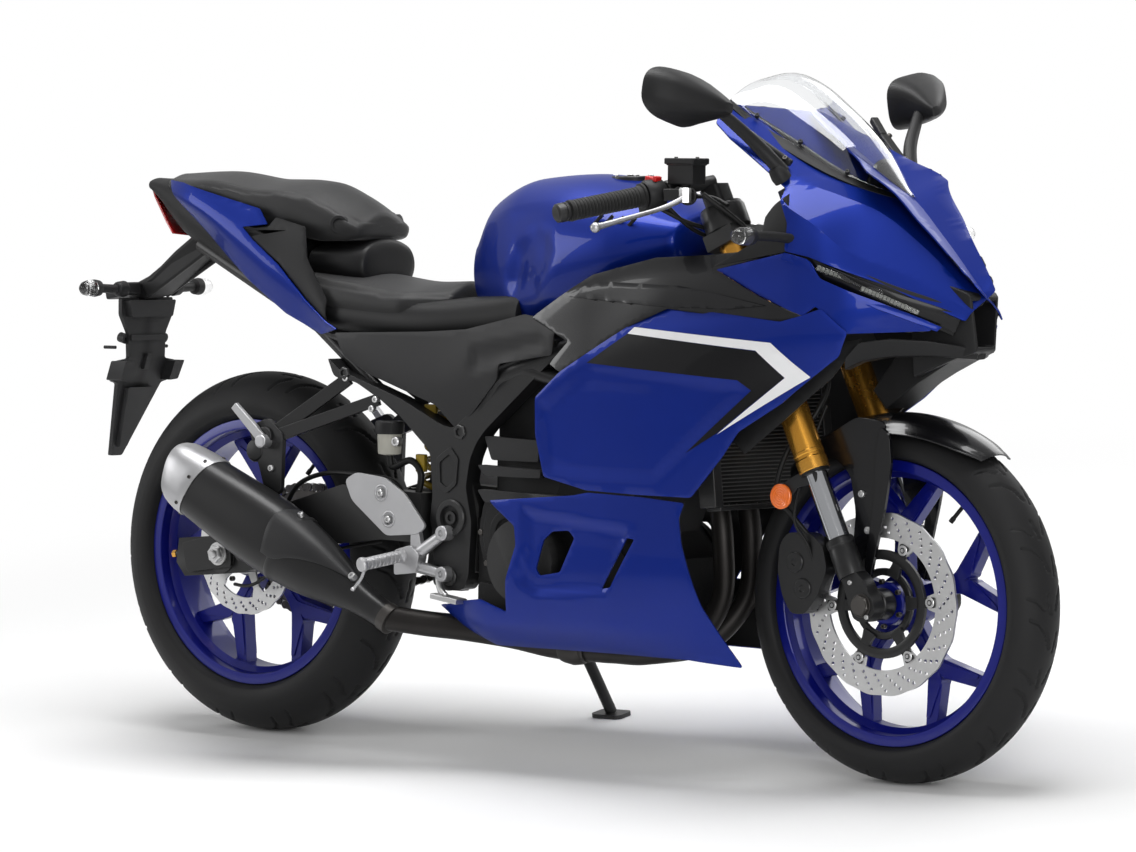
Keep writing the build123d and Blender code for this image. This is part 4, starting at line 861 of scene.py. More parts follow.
trim_rows = [(30, [(176, 795), (190, 770), (196, 720), (200, 640)]),
             (190, [(182, 830), (202, 790), (209, 725), (214, 660)]),
             (370, [(184, 875), (206, 820), (217, 765), (220, 700)]),
             (560, [(190, 880), (209, 830), (214, 770), (214, 720)]),
             (640, [(186, 870), (196, 800), (197, 765), (196, 740)])]
trim_edge = [(64, 742), (76, 750), (188, 816), (323, 846), (430, 852), (500, 858), (560, 862), (598, 862),
             (458, 829), (540, 792), (631, 756), (593, 745), (503, 752), (366, 764), (289, 735), (139, 653),
             (110, 668), (150, 705)]
panel("tank_trims", trim_rows, trim_edge, gloss_black, stands_for=["tank_trims"], step=9.0,
      corner=3.0)
winglet = [(142, 780), (203, 806), (386, 802), (449, 794), (566, 773), (488, 766), (352, 768)]
panel("trim_blades", trim_rows, winglet, gloss_black, step=8.0, corner=4.0, lift=5.2, wall=3.2)

cover_rows = [(-430, [(132, 716), (134, 690), (130, 640)]), (-200, [(140, 730), (142, 640), (132, 530)]),
              (-40, [(150, 745), (156, 690), (150, 620)]), (110, [(168, 765), (176, 715), (174, 660)])]
cover_edge = [(-429, 705), (-405, 665), (-350, 637), (-195, 589), (-147, 545), (-51, 635), (-44, 663),
              (86, 681), (94, 729), (16, 747), (-124, 718), (-215, 712)]
panel("side_covers", cover_rows, cover_edge, trim_grey, stands_for=["side_covers"], step=10.0,
      corner=6.0, dents=[([(-120, 640), (70, 690), (70, 720), (-110, 690)], 4.0, 10.0)])

# ---------------------------------------------------------------- tank and seats

tank_stations = [(-200, 26, 34, 812, 772, 28, 850, 868), (-150, 52, 66, 826, 742, 58, 894, 936),
                 (-60, 92, 104, 850, 735, 92, 922, 972), (60, 118, 146, 872, 745, 112, 934, 980),
                 (180, 118, 154, 880, 780, 118, 925, 965), (290, 86, 112, 880, 838, 88, 905, 925)]
points, faces = hull_mesh(tank_stations, 9.0, (6.0, 10.0), (5, 18, 14))
knee = [(-70, 760), (-92, 800), (-60, 872), (10, 905), (60, 900), (84, 850), (60, 800), (20, 765)]
knee_depth, knee_softness = 10.0, 42.0
shaped = []
for x, y, z in points:
    if inside(knee, x, z) and abs(y) > 60:
        y -= math.copysign(knee_depth * eased(min(1.0, to_edge(knee, x, z) / knee_softness)), y)
    shaped.append((x, y, z))
piece("fuel_tank", shaped, faces, blue_paint, stands_for=["fuel_tank"], creased=50, slot="blue")

rider_stations = [(-560, 88, 97, 800, 770, 86, 812, 822), (-440, 104, 118, 760, 728, 104, 796, 806),
                  (-300, 102, 120, 750, 722, 92, 782, 792), (-234, 54, 68, 752, 732, 52, 782, 794)]
pillion_stations = [(-896, 40, 47, 958, 946, 42, 966, 972), (-780, 78, 90, 945, 925, 78, 966, 977),
                    (-650, 84, 96, 925, 890, 84, 950, 964), (-600, 84, 95, 912, 878, 82, 948, 964),
                    (-547, 82, 92, 902, 866, 76, 940, 960), (-500, 80, 88, 895, 860, 68, 926, 944),
                    (-458, 72, 80, 888, 862, 60, 908, 924), (-438, 62, 70, 884, 866, 52, 896, 910)]


def cushion(name, stations):
    """A padded seat with a crowned top."""
    points, faces = hull_mesh(stations, 9.0, (7.0, 9.0), (5, 14, 14))
    xs, crown = [s[0] for s in stations], 2.4
    shaped = []
    for x, y, z in points:
        half = through(xs, [s[5] for s in stations], x)
        top = through(xs, [s[7] for s in stations], x)
        if z > top - 24:
            z += crown * math.cos(math.pi * min(1.0, abs(y) / half)) - crown / 2
        shaped.append((x, y, z))
    piece(name, shaped, faces, seat_vinyl, stands_for=[name], creased=60)


cushion("rider_seat", rider_stations)
cushion("pillion_seat", pillion_stations)


# ---------------------------------------------------------------- wheels

def ring_mesh(centre, loop, sides):
    """A ring turned about a wheel's axle: loop is a closed line of (y, radius)."""
    n = len(loop)
    points = [(centre[0] + r * math.cos(a), y, centre[1] + r * math.sin(a))
              for a in (2 * math.pi * k / sides for k in range(sides)) for y, r in loop]
    faces = [(i * n + k, i * n + (k + 1) % n, (i + 1) % sides * n + (k + 1) % n, (i + 1) % sides * n + k)
             for i in range(sides) for k in range(n)]
    return points, faces


def near_line(u, s, line):
    """Distance of places (u, s) from a bent line."""
    best = np.full(u.shape, 1e9)
    for (a, b), (c, d) in zip(line, line[1:]):
        dx, dy = c - a, d - b
        t = np.clip(((u - a) * dx + (s - b) * dy) / (dx * dx + dy * dy), 0, 1)
        best = np.minimum(best, np.hypot(u - a - t * dx, s - b - t * dy))
    return best


def tyre(name, wheel, body, around, pitches, slashes, node):
    """A tyre with slanted tread grooves. slashes: (points as (share of a pitch, distance from the
    centre line), width, depth), cut on one side and, half a pitch on, mirrored on the other."""
    crown, half, bead, flange = wheel["crown"], wheel["half"], wheel["bead"], wheel["flange"]
    middle = wheel["radius"] - crown
    widest = math.asin(half / crown)
    tread = [widest * k / 27 for k in range(-27, 28)]
    profile = [(crown * math.sin(a), middle + crown * math.cos(a), crown * a) for a in tread]
    low = profile[-1][1]
    drop = low - flange
    side = [(half - 0.2, low - drop * 0.22), (half - 0.5, low - drop * 0.42), (half - 1.6, low - drop * 0.52),
            (half - 2.0, low - drop * 0.60), (half - 3.2, low - drop * 0.68), (half - 6.5, low - drop * 0.80),
            (bead + 4.0, flange + drop * 0.10), (bead + 0.8, flange + 0.6), (bead - 1.5, flange - 2.0),
            (bead - 6.0, flange - 10.0)]
    profile = ([(-y, r, None) for y, r in reversed(side)] + profile + [(y, r, None) for y, r in side])
    n = len(profile)
    y = np.array([p[0] for p in profile])
    r = np.array([p[1] for p in profile])
    on_tread = np.array([p[2] is not None for p in profile])
    s = np.array([p[2] or 0.0 for p in profile])
    turn = np.arange(around) * 2 * math.pi / around
    pitch = 2 * math.pi * wheel["radius"] / pitches
    u = (turn * wheel["radius"])[:, None] + np.zeros(n)[None, :]
    deep = np.zeros((around, n))
    for line, width, depth in slashes:
        for hand, shift in ((1, 0.0), (-1, 0.5)):
            local = (u / pitch + shift) % 1.0
            for copy in (-1, 0, 1):
                placed = [((share + copy) * pitch, across) for share, across in line]
                far = near_line(local * pitch, hand * s[None, :] + 0 * u, placed)
                cut = np.clip((width / 2 + 0.9 - far) / 1.8, 0, 1)
                deep = np.maximum(deep, depth * eased(cut))
    deep *= on_tread[None, :]
    rr = r[None, :] - deep
    points = np.stack([wheel["x"] + rr * np.cos(turn)[:, None], np.broadcast_to(y[None, :], rr.shape),
                       wheel["z"] + rr * np.sin(turn)[:, None]], axis=2).reshape(-1, 3)
    faces = [(i * n + k, (i + 1) % around * n + k, (i + 1) % around * n + k + 1, i * n + k + 1)
             for i in range(around) for k in range(n - 1)]
    lining = [(y0, flange - 12.0 + 20.0 * math.sin(math.pi * (j + 0.5) / 8))
              for j, y0 in enumerate(np.linspace(bead - 8, 8 - bead, 8))]
    base, m = len(points), len(lining)
    extra = [(wheel["x"] + r0 * math.cos(a), y0, wheel["z"] + r0 * math.sin(a))
             for a in turn for y0, r0 in lining]
    faces += [(base + i * m + k, (i + 1) % around * m + base + k, (i + 1) % around * m + base + k + 1,
               base + i * m + k + 1) for i in range(around) for k in range(m - 1)]
    for i in range(around):
        j = (i + 1) % around
        faces.append((i * n + n - 1, j * n + n - 1, base + j * m, base + i * m))
        faces.append((base + i * m + m - 1, base + j * m + m - 1, j * n, i * n))
    return piece(name, [tuple(p) for p in points] + extra, faces, tyre_rubber, body, [node],
                 creased=50, merge=False)


long_slash = ([(0.02, 5.0), (0.20, 13.0), (0.33, 27.0), (0.38, 43.0)], 4.6, 3.2)
short_slash = ([(0.52, 20.0), (0.63, 32.0), (0.68, 47.0)], 4.2, 2.8)
fine_slash = ([(0.46, 7.0), (0.72, 12.5)], 3.6, 2.6)
wide_long = ([(0.02, 6.0), (0.20, 17.0), (0.33, 35.0), (0.38, 56.0)], 5.2, 3.6)
wide_short = ([(0.52, 26.0), (0.63, 42.0), (0.68, 62.0)], 4.8, 3.2)
wide_fine = ([(0.46, 9.0), (0.72, 16.0)], 4.2, 3.0)
tyre("front_tyre_tread", front_wheel, "front_wheel", 1050, 15, [long_slash, short_slash, fine_slash],
     "front_tyre")
tyre("rear_tyre_tread", rear_wheel, "rear_wheel", 1050, 14, [wide_long, wide_short, wide_fine], "rear_tyre")


def spoke_outline(turn, wide, arm, joint, fork, reach):
    """One Y spoke in the wheel's plane, its foot in the hub and its two arms out to the rim."""
    tip = math.radians(fork)
    outer = [(28, wide / 2), (joint - 34, wide * 0.42), (joint - 14, wide * 0.52)]
    outer += [(reach * math.cos(tip) - arm * 0.30, reach * math.sin(tip) + arm * 0.62)]
    inner = [(reach * math.cos(tip) + arm * 0.30, reach * math.sin(tip) - arm * 0.62),
             (joint + 22, arm * 0.55), (joint + 8, 0)]
    half = outer + inner
    full = half + [(a, -b) for a, b in reversed(half[:-1])]
    c, s = math.cos(turn), math.sin(turn)
    return [(a * c - b * s, a * s + b * c) for a, b in full]


flange_height, spokes = 13.7, 5


def rim(name, wheel, body, hub, thick, phase, node):
    """A cast wheel: barrel, Y spokes with ribs, hub and valve."""
    x, z, bead, flange = wheel["x"], wheel["z"], wheel["bead"], wheel["flange"]
    seat = flange - flange_height
    side = [(bead + 5.0, flange - 4.0), (bead + 4.2, flange - 1.0), (bead + 2.6, flange),
            (bead + 0.4, flange - 0.6), (bead, flange - 3.0), (bead - 0.5, seat + 1.0), (bead - 13, seat),
            (bead - 19, seat - 5), (bead - 22, seat - 11)]
    back = [(bead - 24, seat - 16), (bead - 20, seat - 12), (bead - 14, seat - 6), (bead - 2, seat - 5),
            (bead + 4.0, seat - 4.2), (bead + 5.0, seat - 3.0)]
    loop = side + [(-y, r) for y, r in reversed(side)] + [(-y, r) for y, r in reversed(back)] + back
    solid(name + "_barrel", [ring_mesh((x, z), loop, 160)], wheel_blue, body, [node], creased=32)
    arms, ribs = [], []
    for k in range(spokes):
        turn = math.radians(phase + 360 / spokes * k)
        wide = softened(spoke_outline(turn, 32, 15, 132, 19, seat - 4), 9)
        arms.append(plate_mesh([(x + a, z + b) for a, b in wide], thick, 2 * thick))
        slim = softened(spoke_outline(turn, 12, 5, 126, 18.4, seat - 26), 3)
        ribs.append(plate_mesh([(x + a, z + b) for a, b in slim], thick + 2.2, 2 * thick + 4.4))
    solid(name + "_spokes", arms, wheel_blue, body, [node], bevel=3.4, creased=40)
    solid(name + "_spoke_ribs", ribs, wheel_blue, body, [node], bevel=1.6, creased=40)
    core = [(-hub, 13), (-hub, 32), (-hub + 2, 35), (-thick - 9, 36), (-thick - 3, 41), (-thick, 46),
            (thick, 46), (thick + 3, 41), (thick + 9, 36), (hub - 2, 35), (hub, 32), (hub, 13)]
    solid(name + "_hub", [ring_mesh((x, z), core, 64)], wheel_blue, body, [node], creased=28)
    a = math.radians(phase + 180 / spokes)
    foot = (x + (seat - 8) * math.cos(a), 0, z + (seat - 8) * math.sin(a))
    end = (x + (seat - 44) * math.cos(a), -9, z + (seat - 44) * math.sin(a))
    solid(name + "_valve", [rod_mesh(foot, end, 3.4),
                            rod_mesh(end, tuple(Vector(end) * 1.25 - Vector(foot) * 0.25), 4.2)],
          hose_rubber, body, slot="black_plastic")


rim("front_rim", front_wheel, "front_wheel", 52.0, 12.0, 18.0, "front_rim")
rim("rear_rim", rear_wheel, "rear_wheel", 54.0, 14.0, 20.0, "rear_rim")

disc_wall, disc_hole = 4.5, 2.9
wave_height, waves = 0.9, 18
first_lug = math.radians(4)


def disc(name, wheel, body, y, outer, inner, rows, turns, lug_circle, lugs, lug_radius, node):
    """A drilled brake disc: rows of holes swept round, and lugs on its inner edge."""
    x, z = wheel["x"], wheel["z"]
    edge = []
    for a in (2 * math.pi * k / 180 for k in range(180)):
        r = outer + wave_height * math.cos(waves * a)
        edge.append((x + r * math.cos(a), z + r * math.sin(a)))
    hole = []
    for k in range(240):
        a = 2 * math.pi * k / 240
        r = inner
        for j in range(lugs):
            b = first_lug + 2 * math.pi * j / lugs
            off = abs((a - b + math.pi) % (2 * math.pi) - math.pi) * lug_circle
            if off < lug_radius:
                r = min(r, lug_circle - math.sqrt(lug_radius ** 2 - off ** 2) * 0.75)
        hole.append((x + r * math.cos(a), z + r * math.sin(a)))
    drilled = []
    for k in range(turns):
        for j in range(rows):
            r = inner + 9 + (outer - inner - 17) * j / (rows - 1)
            a = 2 * math.pi * (k + 0.28 * j) / turns
            drilled.append(circle(x + r * math.cos(a), z + r * math.sin(a), disc_hole, 10))
    plate = plate_mesh(edge, y + disc_wall / 2, disc_wall, [hole, *drilled])
    solid(name, [plate], brushed, body, [node], creased=30)


disc("front_disc_rotor", front_wheel, "front_wheel", -61.5, 148.0, 107.0, 4, 30, 98.0, 6, 13.0, "front_disc")
disc("rear_disc_rotor", rear_wheel, "rear_wheel", -65.6, 109.0, 80.0, 3, 26, 74.0, 5, 11.0, "rear_disc")

bolt = turned_mesh((0, 0, 0), (0, 0, 1), [(-4, 4.4), (2.2, 4.4), (3.0, 3.7), (3.0, 2.1), (1.2, 2.1)], 18)
bobbin = turned_mesh((0, 0, 0), (0, 0, 1), [(-3, 8.8), (1.0, 8.8), (1.8, 7.9), (1.8, 5.0), (0.6, 4.6),
                                            (0.6, 3.2), (2.6, 2.8)], 24)
hexagon = turned_mesh((0, 0, 0), (0, 0, 1), [(-4, 6.6), (3.2, 6.6), (4.2, 5.6)], 6)


def round_wheel(wheel, radius, count, first, y, out=(0, -1, 0), size=1.0):
    """Spots on a circle about a wheel's axle."""
    spots = []
    for k in range(count):
        a = math.radians(first) + 2 * math.pi * k / count
        spots.append(((wheel["x"] + radius * math.cos(a), y, wheel["z"] + radius * math.sin(a)), out,
                      (math.cos(a), 0, math.sin(a)), size))
    return spots


def spider(wheel, arm, corner, count, y, wall):
    """Arms of a disc's carrier: half of an arm's outline, along the arm and across it."""
    arm = softened(arm + [(p, -q) for p, q in reversed(arm)], corner)
    plates = []
    for a in (first_lug + 2 * math.pi * k / count for k in range(count)):
        plates.append(plate_mesh([(wheel["x"] + p * math.cos(a) - q * math.sin(a),
                                   wheel["z"] + p * math.sin(a) + q * math.cos(a)) for p, q in arm], y, wall))
    return plates


x, z = front_wheel["x"], front_wheel["z"]
carrier = spider(front_wheel, [(50, 13), (64, 9), (80, 9), (92, 8), (107, 9)], 4, 6, -59.0, 8.0)
carrier.append(ring_mesh((x, z), [(-54, 46), (-60, 46), (-61, 48), (-61, 56), (-59, 58), (-54, 58)], 72))
carrier.append(ring_mesh((x, z), [(-59.5, 72), (-66.5, 72), (-67.5, 74), (-67.5, 86), (-66.5, 88),
                                  (-59.5, 88)], 72))
solid("front_carrier", carrier, frame_black, "front_wheel", ["front_disc_carrier"], bevel=1.2)
scatter("front_bobbins", round_wheel(front_wheel, 98, 6, 4, -66.0), bobbin, brushed, "front_wheel")
scatter("front_disc_bolts", round_wheel(front_wheel, 36, 6, 34, -61.0), bolt, dark_steel,
        "front_wheel")
scatter("rear_disc_bolts", round_wheel(rear_wheel, 58, 5, 20, -67.6), bolt, dark_steel, "rear_wheel")
scatter("sprocket_bolts", round_wheel(rear_wheel, 56, 5, 56, 87.4, (0, 1, 0), 1.2), hexagon, brushed,
        "rear_wheel")

x, z = rear_wheel["x"], rear_wheel["z"]
hat = spider(rear_wheel, [(30, 10), (60, 7), (84, 9)], 3, 5, -63.6, 4.0)
hat.append(ring_mesh((x, z), [(-54, 22), (-68, 22), (-68, 38), (-62, 42), (-54, 42)], 60))
solid("rear_disc_hat", hat, brushed, "rear_wheel", ["rear_disc"], bevel=0.8)

# ---------------------------------------------------------------- chain

big = (rear_wheel["x"], rear_wheel["z"], chain_pitch / (2 * math.sin(math.pi / wheel_teeth)))
small = (*engine_sprocket, chain_pitch / (2 * math.sin(math.pi / engine_teeth)))


def chain_path():
    """Places one pitch apart round both sprockets."""
    dx, dz = small[0] - big[0], small[1] - big[1]
    line = math.atan2(dz, dx)
    reach = math.hypot(dx, dz)
    open_angle = math.acos((big[2] - small[2]) / reach)
    run = math.sqrt(reach ** 2 - (big[2] - small[2]) ** 2)
    wrap_big = 2 * (math.pi - open_angle) * big[2]
    wrap_small = 2 * open_angle * small[2]

    def round_sprocket(sprocket, angle, beyond=0.0):
        """A place at an angle on a sprocket, or so far beyond it on the straight run."""
        return (sprocket[0] + sprocket[2] * math.cos(angle) + math.sin(angle) * beyond,
                sprocket[1] + sprocket[2] * math.sin(angle) - math.cos(angle) * beyond)

    total = wrap_big + wrap_small + 2 * run
    count = int(round(total / chain_pitch / 2)) * 2
    places = []
    for d in (total * k / count for k in range(count)):
        if d < run:
            places.append(round_sprocket(big, line + open_angle, d))
        elif d < run + wrap_small:
            places.append(round_sprocket(small, line + open_angle - (d - run) / small[2]))
        elif d < 2 * run + wrap_small:
            places.append(round_sprocket(small, line - open_angle, d - run - wrap_small))
        else:
            places.append(round_sprocket(big, line - open_angle - (d - 2 * run - wrap_small) / big[2]))
    return places


def link_plate(y):
    """One side plate of a link, a pitch long, along local X with local Z across the chain."""
    half, waist, end, wall = chain_pitch / 2, 5.2, 7.0, 1.6
    line = []
    for middle, first, between in ((half, -90, waist), (-half, 90, -waist)):
        for a in (math.radians(first + 30 * k) for k in range(7)):
            line.append((middle + end * math.cos(a), end * math.sin(a)))
        line.append((0, between))
    n = len(line)
    points = [(px, pz, y + out) for out in (0, wall) for px, pz in line]
    return points, [tuple(reversed(range(n))), tuple(range(n, 2 * n)), *loop_faces(2, n)]


pin = [turned_mesh((side * chain_pitch / 2, 0, 0), (0, 0, 1), [(-7.6, 2.6), (7.6, 2.6)], 10)
       for side in (-1, 1)]
roller = [turned_mesh((side * chain_pitch / 2, 0, 0), (0, 0, 1), [(-3.4, 5.0), (3.4, 5.0)], 14)
          for side in (-1, 1)]
outer_link = join([link_plate(5.4), link_plate(-7.0), *pin])
inner_link = join([link_plate(3.4), link_plate(-5.0), *roller])
path = chain_path()
spots = [[], []]
for k, (cx, cz) in enumerate(path):
    nx, nz = path[(k + 1) % len(path)]
    mid = ((cx + nx) / 2, chain_y, (cz + nz) / 2)
    spots[k % 2].append((mid, (0, -1, 0), ((nx - cx), 0, (nz - cz)), 1.0))
scatter("chain_outer_links", spots[0], outer_link, dark_steel, stands_for=["chain"])
scatter("chain_inner_links", spots[1], inner_link, brushed, stands_for=["chain"])


# ---------------------------------------------------------------- nose, lamps and screen

def patch(name, grid, finish, wall=2.5, stands_for=(), slot=None):
    """A panel through a grid of places (x, half width, z), smoothed along each row, for each hand."""
    steps = 6 * (len(grid[0]) - 1)
    parts = []
    for hand in (-1, 1):
        points = []
        for line in grid:
            share = [k / (len(line) - 1) for k in range(len(line))]
            for k in range(steps + 1):
                x, y, z = (through(share, [p[i] for p in line], k / steps) for i in range(3))
                points.append((x, hand * y, z))
        faces = sheet_faces(len(grid), steps + 1)
        parts.append((points, faces if hand < 0 else [tuple(reversed(f)) for f in faces]))
    points, faces = join(parts)
    obj = piece(name, points, faces, finish, stands_for=stands_for, creased=30.0, merge=False, slot=slot)
    thicken(obj, wall, 0.5)


patch("lamp_recess", [[(634, 189, 853), (690, 168, 826), (750, 128, 799), (800, 84, 778), (832, 48, 762)],
                      [(654, 178, 816), (700, 156, 795), (755, 118, 770), (800, 76, 748), (820, 50, 734)]],
      black_film, stands_for=["headlamps"], wall=3.0)
upper_slit = [((646, 192, 840), (741, 136, 799)), ((653, 189, 832), (741, 133, 793))]
lower_slit = [((711, 158, 808), (788, 104, 769)), ((714, 155, 799), (786, 100, 761))]
strips, covers = [], []
bars_per_slit = 16
for (a, b), (c, d) in (upper_slit, lower_slit):
    for hand in (-1, 1):
        back = Vector([(p + q) / 2 for p, q in zip(a, c)])
        front = Vector([(p + q) / 2 for p, q in zip(b, d)])
        out = Vector((0, 1.0, 0))
        covers.append(bar_between(hand, back + out, front + out, 7, 9.5, 0.86))
        for k in range(bars_per_slit):
            p, q = (back.lerp(front, (k + share) / bars_per_slit) - out * 0.4 for share in (0.08, 0.92))
            strips.append(bar_between(hand, p, q, 4.5, 6.4))
solid("lamp_reflectors", strips, lamp_bar)
backing = [
    [(588, 196, 872), (640, 176, 862), (690, 156, 836), (750, 118, 808), (800, 76, 786), (826, 44, 768)],
    [(588, 194, 836), (646, 172, 812), (694, 148, 788), (748, 110, 762), (792, 70, 742), (812, 44, 728)]]
patch("lamp_backing", backing, trim_black, wall=2.0, slot="gloss_black")
solid("lamp_lenses", covers, lamp_lens, bevel=1.2)

rims = [[(598, 209, 859), (636, 193, 846), (655, 184, 815), (720, 150, 787), (780, 104, 760), (812, 74, 742)],
        [(590, 212, 848), (628, 198, 836), (650, 190, 806), (716, 156, 778), (774, 112, 752), (806, 80, 735)]]
patch("cheek_rims", rims, blue_paint, wall=2.0)

# sections of the duct: x, half its width at the top and at the foot, height of its top and foot
outside = [(740, 60, 52, 806, 660), (810, 48, 40, 808, 690), (840, 40, 30, 796, 700), (846, 38, 26, 790, 704)]
mouth = [(847, 33, 22, 784, 710), (800, 26, 18, 778, 714)]
loops = [[(x, -half_low, low), (x - 4, -half_top, top), (x - 4, half_top, top), (x, half_low, low)]
         for x, half_top, half_low, top, low in outside + mouth]
duct = piece("nose_duct_frame", *lofted(loops), trim_black, stands_for=["nose_duct"])
rounded(duct, 3.0)

chin = []
for hand in (-1, 1):
    lip = [(840, 10, 706), (828, 42, 712), (790, 84, 720), (740, 122, 722), (700, 146, 716), (676, 150, 690)]
    foot = [(836, 10, 690), (822, 38, 692), (784, 76, 696), (735, 108, 694), (696, 130, 686), (668, 140, 672)]
    n = len(lip)
    inner = [(x - 10, y - 26, z - 2) for x, y, z in foot]
    top = [(x - 12, y - 22, z) for x, y, z in lip]
    rows = [lip, foot, inner, top]
    points = [(x, hand * max(y, 0.5), z) for row in rows for x, y, z in row]
    faces = [(i * n + k, i * n + k + 1, (i + 1) % 4 * n + k + 1, (i + 1) % 4 * n + k)
             for i in range(4) for k in range(n - 1)]
    faces += [(0, n, 2 * n, 3 * n), (n - 1, 4 * n - 1, 3 * n - 1, 2 * n - 1)]
    chin.append((points, faces))
wedge = [(836, 700), (800, 686), (735, 650), (672, 606), (646, 636), (690, 690), (740, 702)]
chin.append(plate_mesh(wedge, 34, 68))
solid("chin", chin, trim_black, "chassis", ["nose_duct"], bevel=2.0)
inner_rows = [(450, [(170, 730), (168, 640), (160, 520)]), (600, [(150, 730), (148, 640), (140, 520)]),
              (700, [(120, 730), (116, 640), (108, 520)])]
inner_edge = [(690, 722), (640, 656), (560, 590), (480, 530), (452, 560), (520, 640), (600, 700)]
panel("inner_fairings", inner_rows, inner_edge, trim_black, step=14, corner=4)
patch("nose_inner_panels", [[(598, 199, 952), (570, 200, 934), (552, 200, 915)],
                            [(600, 204, 905), (566, 204, 890), (545, 204, 880)],
                            [(599, 205, 860), (540, 206, 850), (452, 206, 834)]], trim_black)

# clear screen: rows of x, half width and height of its edge, height on the centre line
screen_rows = [(419, 124, 1103, 1139), (450, 119, 1078, 1146), (480, 108, 1058, 1137), (534, 96, 1028, 1103),
               (600, 78, 989, 1052), (650, 42, 963, 1000), (680, 18, 951, 964), (700, 3, 943, 946)]


def screen_grid(first, last, inset, low, high, along, steps):
    """The screen's skin between two places along it, and across it from low to high."""
    xs = [r[0] for r in screen_rows]
    points = []
    for i in range(along + 1):
        x = first + (last - first) * i / along
        half, edge, top = (through(xs, [r[k] for r in screen_rows], x) for k in (1, 2, 3))
        line = arc((-half, edge), (0, top), (half, edge), steps * 2)
        for k in range(steps + 1):
            s = (low + (high - low) * k / steps + 1) / 2 * (len(line) - 1)
            j = min(int(s), len(line) - 2)
            y, z = (line[j][m] + (line[j + 1][m] - line[j][m]) * (s - j) for m in (0, 1))
            points.append((x, y, z - inset))
    return points, sheet_faces(along + 1, steps + 1)


screen = piece("windscreen_moulding", *screen_grid(420, 699, 0, -1, 1, 44, 30), screen_clear, "chassis",
               ["windscreen"], creased=60, merge=False)
thicken(screen, 2.6, 0.6)
border = join([screen_grid(440, 640, 3.2, -1, -0.90, 30, 3), screen_grid(440, 640, 3.2, 0.90, 1, 30, 3),
               screen_grid(640, 696, 3.2, -1, 1, 12, 20)])
edge = piece("screen_border", *border, gloss_black, creased=60, merge=False)
thicken(edge, 1.2)
strip = [
    [(420, 127, 1102), (480, 112, 1058), (534, 100, 1029), (602, 82, 989), (650, 46, 964), (692, 14, 944)],
    [(432, 140, 1090), (486, 128, 1046), (540, 116, 1014), (604, 96, 980), (654, 60, 956), (700, 10, 937)]]
patch("screen_seal", strip, trim_black, wall=3.0)

stay = [((566, 152, 1000), (504, 178, 1046), 17, 12), ((504, 178, 1046), (470, 196, 1074), 14, 12)]
mounts = [bar_between(hand, *part) for part in stay for hand in (-1, 1)]
solid("mirror_brackets", mounts, trim_black, bevel=3.0)
scatter("mirror_bolts", [((x, hand * (y + 8), z + 7), (0.2, hand * 0.7, 0.7), (1, 0, 0), 1.0)
                         for x, y, z in ((562, 154, 1002), (512, 176, 1040)) for hand in (-1, 1)], bolt,
        dark_steel)
scatter("screen_bolts", [((x, hand * y, z), (0.35, hand * 0.6, 0.75), (1, 0, 0), 0.9)
                         for x, y, z in ((622, 76, 988), (545, 100, 1036), (470, 118, 1078))
                         for hand in (-1, 1)], bolt, trim_black)

# mirrors: heads lofted from rounded cross sections, on tapered stalks
mirror_at = Vector((452.0, 326.0, 1108.0))
mirror_tilt = math.radians(12)
mirror_sides, mirror_power = 40, 0.62
# sections of a head: how far ahead of its glass and how far inward, its width and height
head_sections = ((-2, 0, 132, 80), (2, 0, 140, 86), (14, 1, 136, 83), (30, 5, 122, 73), (46, 14, 100, 61),
                 (62, 27, 74, 45), (76, 40, 46, 30), (86, 47, 22, 16))
heads, glasses, stalks = [], [], []
for hand in (-1, 1):
    middle = Vector((mirror_at.x, hand * mirror_at.y, mirror_at.z))
    rings = []
    for ahead, inward, wide, tall in head_sections:
        ring = []
        for ca, sa in circle(0, 0, 1, mirror_sides):
            p = math.copysign(abs(ca) ** mirror_power, ca) * wide / 2
            narrowed = 1.0 - 0.16 * math.copysign(abs(ca), ca)
            q = math.copysign(abs(sa) ** mirror_power, sa) * tall / 2 * narrowed
            y = p * math.cos(mirror_tilt) - q * math.sin(mirror_tilt)
            z = p * math.sin(mirror_tilt) + q * math.cos(mirror_tilt)
            ring.append((mirror_at.x + ahead, hand * (mirror_at.y - inward + y),
                         mirror_at.z - inward * 0.4 + z))
        rings.append(ring)
    heads.append(lofted(rings))
    face = [Vector(p).lerp(middle, 0.06) for p in rings[0]]
    glasses.append(lofted([[(x - back, y, z) for x, y, z in face] for back in (1.6, 0.2)]))
    stalks.append(pipe_mesh([(566, hand * 172, 986), (540, hand * 204, 1028), (520, hand * 246, 1066),
                             (506, hand * 276, 1090)], lambda t: 12.5 - 4.0 * t, 16, 6, 0.75))
    stalks.append(turned_mesh((560, hand * 176, 985), (-0.3, hand * 0.5, 0.8),
                              [(-14, 15), (-4, 16), (6, 14), (12, 11)], 24))
solid("mirror_heads", heads, trim_black, "chassis", ["mirrors"], creased=40)
solid("mirror_glass", glasses, mirror_glass, creased=30)
solid("mirror_stalks", stalks, trim_black, "chassis", ["mirrors"], creased=50)

